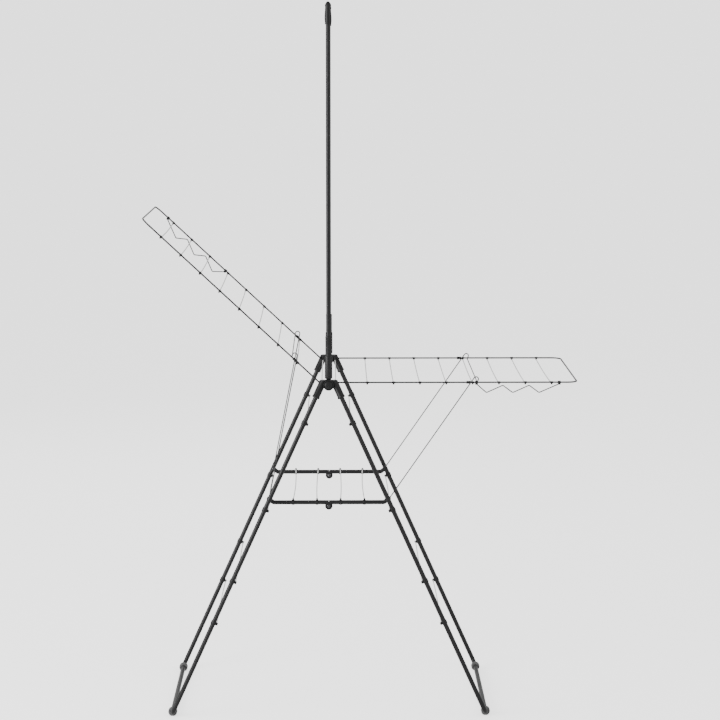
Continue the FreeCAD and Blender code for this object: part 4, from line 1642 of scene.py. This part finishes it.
@dataclass(frozen=True)
class Wing:
    """A wing: its wire frame, line clips, drying lines, hanger wire and stay catches."""

    measures: Measures
    fitter: Fitter
    hand: Hand
    catch_end: float
    line_count: int = 8
    pin_end: float = 0.2686
    pin_bend: float = 0.0036
    corner: float = 0.028
    clip_radius: float = 0.0031
    clip_play: float = 0.0001
    clip_edge: float = 0.0006
    clip_length: float = 0.008
    catch_radius: float = 0.0042
    catch_length: float = 0.012
    catch_edge: float = 0.0005
    catch_grooves: tuple[float, ...] = (0.3, 0.5, 0.7)
    groove_half: float = 0.0007
    groove_floor: float = 0.0004
    lug_face: float = 0.2552
    lug_cover: float = 0.0015
    lug_height: float = 0.0042
    lug_low: float = 0.0022
    lug_half: float = 0.0024
    lug_edge: float = 0.0007
    lug_taper: float = 0.86
    line_drop: float = 0.004
    line_sags: tuple[float, ...] = (0.003, 0.004, 0.0035, 0.0025, 0.003, 0.004, 0.003, 0.0035)
    hanger_start: float = 0.3855
    hanger_reach: float = 0.230
    hanger_pitch: float = 0.0732
    hanger_steep: float = 0.0275
    hanger_low: float = -0.029
    hanger_high: float = -0.0085
    hanger_bend: float = 0.005
    hanger_teeth: int = 3
    hanger_end_gap: float = 0.0007
    pad_half: float = 0.0032
    pad_foot: float = -0.00665
    pad_cover: float = 0.0002
    pad_edge: float = 0.0009
    pad_taper: float = 0.9
    hanger_clip_edge: float = 0.0007

    @property
    def body(self) -> str:
        """The wing's body."""
        return f"{self.hand.word}_wing"

    def dress(self, piece: bpy.types.Object, finish: Finish, node: str) -> None:
        """Move a piece from the wing's own directions to the wing, and fit it.

        Args:
            piece: The finished piece.
            finish: Its finish.
            node: The plain node that it stands for, without the hand's name.
        """
        Bench.placed(piece, self.measures.wing_matrix(self.hand))
        self.fitter.fit(piece, self.body, finish, f"{self.hand.word}_{node}")

    def build(self) -> None:
        """Build and fit the wing's pieces."""
        self.build_frame()
        self.build_clips()
        self.build_lines()
        self.build_hanger_wire()
        self.build_hanger_clips()
        self.build_catches()

    def build_frame(self) -> None:
        """The wire frame, with its ends turned outwards into the knuckles."""
        m = self.measures
        corners = [
            (0, -self.pin_end), (0, -m.wing_layer), (m.wing_length, -m.wing_layer),
            (m.wing_length, m.wing_layer), (0, m.wing_layer), (0, self.pin_end),
        ]
        piece = Bench.bent(
            f"wing_wire_{self.hand.word}", [Vector((x, y, 0)) for x, y in corners],
            [self.pin_bend, self.corner, self.corner, self.pin_bend], m.rail_radius, sides=20,
        )
        self.dress(piece, WIRE_COAT, "wing_frame")

    def build_clip(self) -> bpy.types.Object:
        """One line clip for the rear rail, at the wing's pivot: a collar with a tapered lug.

        Returns:
            The clip.
        """
        m = self.measures
        half = self.clip_length / 2
        bore = m.rail_radius + self.clip_play
        outline = Bench.collar(self.clip_radius, bore, -half, half, self.clip_edge)
        ring = Bench.turned(
            "clip", outline, Vector((0, m.wing_layer, 0)), Vector((1, 0, 0)), sides=24
        )
        foot = -self.line_drop - self.lug_low
        lug = Bench.block(
            "lug", (-self.lug_half, self.lug_face, foot),
            (self.lug_half, m.wing_layer + self.lug_cover, foot + self.lug_height),
            self.lug_edge, self.lug_taper,
        )
        return Bench.combine(ring, Join.UNION, lug)

    def build_clips(self) -> None:
        """Eight clips on each rail."""
        m = self.measures
        clip = self.build_clip()
        mirror = {
            Side.FRONT: Matrix.Scale(-1, 4, Vector((0, 1, 0))),
            Side.REAR: Matrix.Identity(4),
        }
        clips = [
            Bench.copied(
                clip,
                Matrix.Translation((m.first_line + m.line_pitch * index, 0, 0)) @ mirror[side],
            )
            for index in range(self.line_count) for side in Side
        ]
        bpy.data.objects.remove(clip)
        self.dress(
            Bench.gathered(f"wing_line_clips_{self.hand.word}", clips), MOULDED_BLACK, "wing_clips"
        )

    def build_lines(self) -> None:
        """The drying lines between the rails, each a little slack."""
        m = self.measures
        down = m.wing_matrix(self.hand).to_3x3().inverted() @ Vector((0, 0, -1))
        lines = []
        for index, sag in zip(range(self.line_count), self.line_sags):
            reach = m.first_line + m.line_pitch * index
            lines.append(Bench.slack_line(
                "line", Vector((reach, -self.lug_face, -self.line_drop)),
                Vector((reach, self.lug_face, -self.line_drop)), m.line_radius, down * sag,
            ))
        self.dress(
            Bench.gathered(f"wing_drying_lines_{self.hand.word}", lines), LINE_COAT, "wing_lines"
        )

    def build_hanger_wire(self) -> None:
        """The saw-toothed wire below the front rail that keeps hangers apart."""
        m = self.measures
        end = -m.rail_radius - m.wire_radius - self.hanger_end_gap
        corners = [(self.hanger_start, end)]
        for tooth in range(self.hanger_teeth):
            start = self.hanger_start + tooth * self.hanger_pitch
            corners.append((start + self.hanger_steep, self.hanger_low))
            if tooth < self.hanger_teeth - 1:
                corners.append((start + self.hanger_pitch, self.hanger_high))
        corners.append((self.hanger_start + self.hanger_reach, end))
        points = [Vector((x, -m.wing_layer, z)) for x, z in corners]
        piece = Bench.bent(
            f"hanger_saw_wire_{self.hand.word}", points,
            [self.hanger_bend] * (len(points) - 2), m.wire_radius,
        )
        self.dress(piece, WIRE_COAT, "hanger_wire")

    def build_hanger_clips(self) -> None:
        """The two clips that hold the hanger wire's ends to the rail."""
        m = self.measures
        half = self.clip_length / 2
        layer = Vector((0, -m.wing_layer, 0))
        bore = m.rail_radius + self.clip_play
        outline = Bench.collar(self.catch_radius, bore, -half, half, self.hanger_clip_edge)
        ring = Bench.turned("clip", outline, layer, Vector((1, 0, 0)), sides=24)
        pad = Bench.block(
            "pad", (-half, -m.wing_layer - self.pad_half, self.pad_foot),
            (half, -m.wing_layer + self.pad_half, -m.rail_radius + self.pad_cover),
            self.pad_edge, self.pad_taper,
        )
        Bench.combine(ring, Join.UNION, pad)
        clips = [
            Bench.copied(ring, Matrix.Translation((self.hanger_start + along, 0, 0)))
            for along in (0, self.hanger_reach)
        ]
        bpy.data.objects.remove(ring)
        self.dress(
            Bench.gathered(f"hanger_wire_clips_{self.hand.word}", clips), MOULDED_BLACK,
            "hanger_clips",
        )

    def build_catches(self) -> None:
        """The ribbed catches on the rails beside the stay."""
        m = self.measures
        start, end = self.catch_end - self.catch_length, self.catch_end
        outer, edge = self.catch_radius, self.catch_edge
        inner = m.rail_radius + self.clip_play
        outline = [(inner, start), (outer - edge, start), (outer, start + edge)]
        for share in self.catch_grooves:
            along = start + self.catch_length * share
            outline += [
                (outer, along - self.groove_half), (outer - edge, along - self.groove_floor),
                (outer - edge, along + self.groove_floor), (outer, along + self.groove_half),
            ]
        outline += [(outer, end - edge), (outer - edge, end), (inner, end), (inner, start)]
        catches = [
            Bench.turned(
                "catch", outline, Vector((0, side.value * m.wing_layer, 0)), Vector((1, 0, 0)),
                sides=28,
            )
            for side in Side
        ]
        self.dress(
            Bench.gathered(f"stay_catch_pair_{self.hand.word}", catches), MOULDED_BLACK,
            "stay_catches",
        )


@dataclass(frozen=True)
class Stay:
    """A stay: a wire loop with a wound eye at each foot and a hook over each rail."""

    measures: Measures
    fitter: Fitter
    hand: Hand
    reach: float
    rise: float = 0.0205
    hook_width: float = 0.013
    hook_end: float = 0.009
    hook_corner: float = 0.004
    eye_radius: float = 0.0040
    eye_wire: float = 0.00156
    eye_steps: int = 32
    arch_gap: float = 0.00002

    def build(self) -> None:
        """Build the stay upright on its pivot and turn it to its wing."""
        m = self.measures
        pivot = m.on_leg(m.leg_offset, m.stay_down, 0, self.hand)
        wing = m.wing_matrix(self.hand)
        towards = wing @ Vector((self.reach, 0, 0)) - pivot
        length = towards.length
        stages = [
            (self.eye_radius, 0.0), (length + self.rise, 0.0),
            (length + self.rise, self.hook_width), (length + self.hook_end, self.hook_width),
        ]
        front = [Vector((out, -m.stay_layer, up)) for up, out in stages]
        rear = [Vector((out, m.stay_layer, up)) for up, out in reversed(stages)]
        arch = self.hook_width / 2 - self.arch_gap
        bends = [arch, arch, self.hook_corner]
        stay = Bench.bent(
            f"stay_wire_{self.hand.word}", front + rear, bends + bends[::-1], m.wire_radius
        )
        for side in Side:
            Bench.combine(stay, Join.UNION, self.build_eye(side))
        lean = Matrix.Rotation(math.atan2(towards.x, towards.z), 4, "Y")
        if self.hand is Hand.LEFT:
            lean = lean @ Matrix.Rotation(math.pi, 4, "Z")
        Bench.placed(stay, Matrix.Translation(pivot) @ lean)
        word = self.hand.word
        self.fitter.fit(stay, f"{word}_stay", STAY_COAT, f"{word}_stay")

    def build_eye(self, side: Side) -> bpy.types.Object:
        """The wound eye round the leg pin: a ring of wire spun once round the pin.

        Args:
            side: Its side.

        Returns:
            The ring.
        """
        layer = side.value * self.measures.stay_layer
        start = Vector((self.eye_radius, layer, 0))
        piece = Bench.circle("eye", self.eye_wire, 16, start, Vector((0, 0, 1)))
        bpy.ops.mesh.spin(
            steps=self.eye_steps, angle=2 * math.pi, center=(0, layer, 0), axis=(0, 1, 0)
        )
        return Bench.close_up(piece)


# Studio


@dataclass(frozen=True)
class Studio:
    """A plain pale floor, an even surround, soft lights, and the camera."""

    floor_half: float = 60.0
    floor_shade: Colour = (0.86, 0.86, 0.86)
    floor_unevenness: float = 0.985
    floor_roughness: float = 0.9
    floor_specular: float = 0.1
    sky_shade: Colour = (1.0, 1.0, 1.0)
    sky_strength: float = 0.75
    seen_strength: float = 2.25
    floor_glow: float = 1.6
    lamps: tuple[tuple[str, tuple[float, float, float], float, float], ...] = (
        ("key_light", (-4.0, -2.6, 1.9), 2.6, 320.0),
        ("fill_light", (3.6, -2.4, 2.2), 2.4, 60.0),
        ("rim_light", (-1.6, 3.8, 3.4), 2.2, 60.0),
    )
    lamp_aim: tuple[float, float, float] = (0.0, 0.0, 0.95)
    camera_place: tuple[float, float, float] = (0.0176, -6.7999, 1.8823)
    camera_pitch: float = math.radians(-7.539)
    camera_yaw: float = math.radians(0.609)
    lens: float = 119.0
    sensor_width: float = 36.0

    def build(self) -> None:
        """Build the studio."""
        self.build_floor()
        self.build_sky()
        for lamp in self.lamps:
            self.build_light(*lamp)
        self.build_camera()

    def build_floor(self) -> None:
        """The floor, with a faint unevenness so that it isn't one flat colour."""
        bpy.ops.object.select_all(action="DESELECT")
        bpy.ops.mesh.primitive_plane_add(size=2 * self.floor_half)
        floor = Bench.settle(bpy.context.active_object, "studio_floor")
        made = bpy.data.materials.new("studio_floor_paint")
        made.use_nodes = True
        desk = NodeDesk(made.node_tree)
        shader = made.node_tree.nodes["Principled BSDF"]
        cloud = desk.add(
            "ShaderNodeTexNoise", {"Vector": desk.place(), "Scale": 1.3, "Detail": 2.0}
        )
        worn = tuple(value * self.floor_unevenness for value in self.floor_shade)
        made.node_tree.links.new(
            desk.blend(cloud.outputs["Fac"], self.floor_shade, worn), shader.inputs["Base Color"]
        )
        shader.inputs["Roughness"].default_value = self.floor_roughness
        shader.inputs["Specular IOR Level"].default_value = self.floor_specular
        seen = desk.add("ShaderNodeLightPath").outputs["Is Camera Ray"]
        glow = desk.add(
            "ShaderNodeEmission", {"Strength": desk.maths("MULTIPLY", seen, self.floor_glow)}
        )
        both = desk.add(
            "ShaderNodeAddShader", {0: shader.outputs["BSDF"], 1: glow.outputs["Emission"]}
        )
        surface = made.node_tree.nodes["Material Output"].inputs["Surface"]
        made.node_tree.links.new(both.outputs["Shader"], surface)
        floor.data.materials.append(made)

    def build_sky(self) -> None:
        """An even surround, pale to the eye and softer as a light."""
        world = bpy.data.worlds.new("studio_surround")
        world.use_nodes = True
        desk = NodeDesk(world.node_tree)
        surround = world.node_tree.nodes["Background"]
        surround.inputs["Color"].default_value = (*self.sky_shade, 1.0)
        seen = desk.add("ShaderNodeLightPath").outputs["Is Camera Ray"]
        strength = desk.ramp(seen, self.sky_strength, self.seen_strength, 0.0, 1.0)
        world.node_tree.links.new(strength, surround.inputs["Strength"])
        bpy.context.scene.world = world

    def build_light(
        self, name: str, place: tuple[float, float, float], size: float, power: float
    ) -> None:
        """A large soft light that faces the middle of the airer.

        Args:
            name: The light's name.
            place: Where it stands.
            size: Width of its square face.
            power: Its power in watts.
        """
        bpy.ops.object.select_all(action="DESELECT")
        bpy.ops.object.light_add(type="AREA", location=place)
        light = bpy.context.active_object
        light.name = name
        light.data.energy = power
        light.data.size = size
        light.visible_camera = False
        aim = Vector(self.lamp_aim) - Vector(place)
        light.rotation_euler = aim.to_track_quat("-Z", "Y").to_euler()

    def build_camera(self) -> None:
        """The camera, almost square to the front and a little above the wings."""
        bpy.ops.object.camera_add(
            location=self.camera_place,
            rotation=(math.pi / 2 + self.camera_pitch, 0.0, -self.camera_yaw),
        )
        camera = bpy.context.active_object
        camera.name = "studio_camera"
        camera.data.lens = self.lens
        camera.data.sensor_width = self.sensor_width
        bpy.context.scene.camera = camera


# Distances out along a wing from its pivot: the stay's hooks, and the outer ends of its catches

STAY_REACH = {Hand.LEFT: 0.0885, Hand.RIGHT: 0.3715}
CATCH_END = {Hand.LEFT: 0.0996, Hand.RIGHT: 0.3694}


def main() -> None:
    """Build the airer around its frame, and the studio around the airer."""
    measures = Measures.from_frame(frame)
    fitter = Fitter(Effects())
    Studio().build()
    HangingRod(measures, fitter).build()
    for side in Side:
        Hub(measures, fitter, side).build()
    for hand in Hand:
        Leg(measures, fitter, hand).build()
        Shelf(measures, fitter, hand).build()
        Wing(measures, fitter, hand, CATCH_END[hand]).build()
        Stay(measures, fitter, hand, STAY_REACH[hand]).build()


if __name__ == "__main__":
    main()
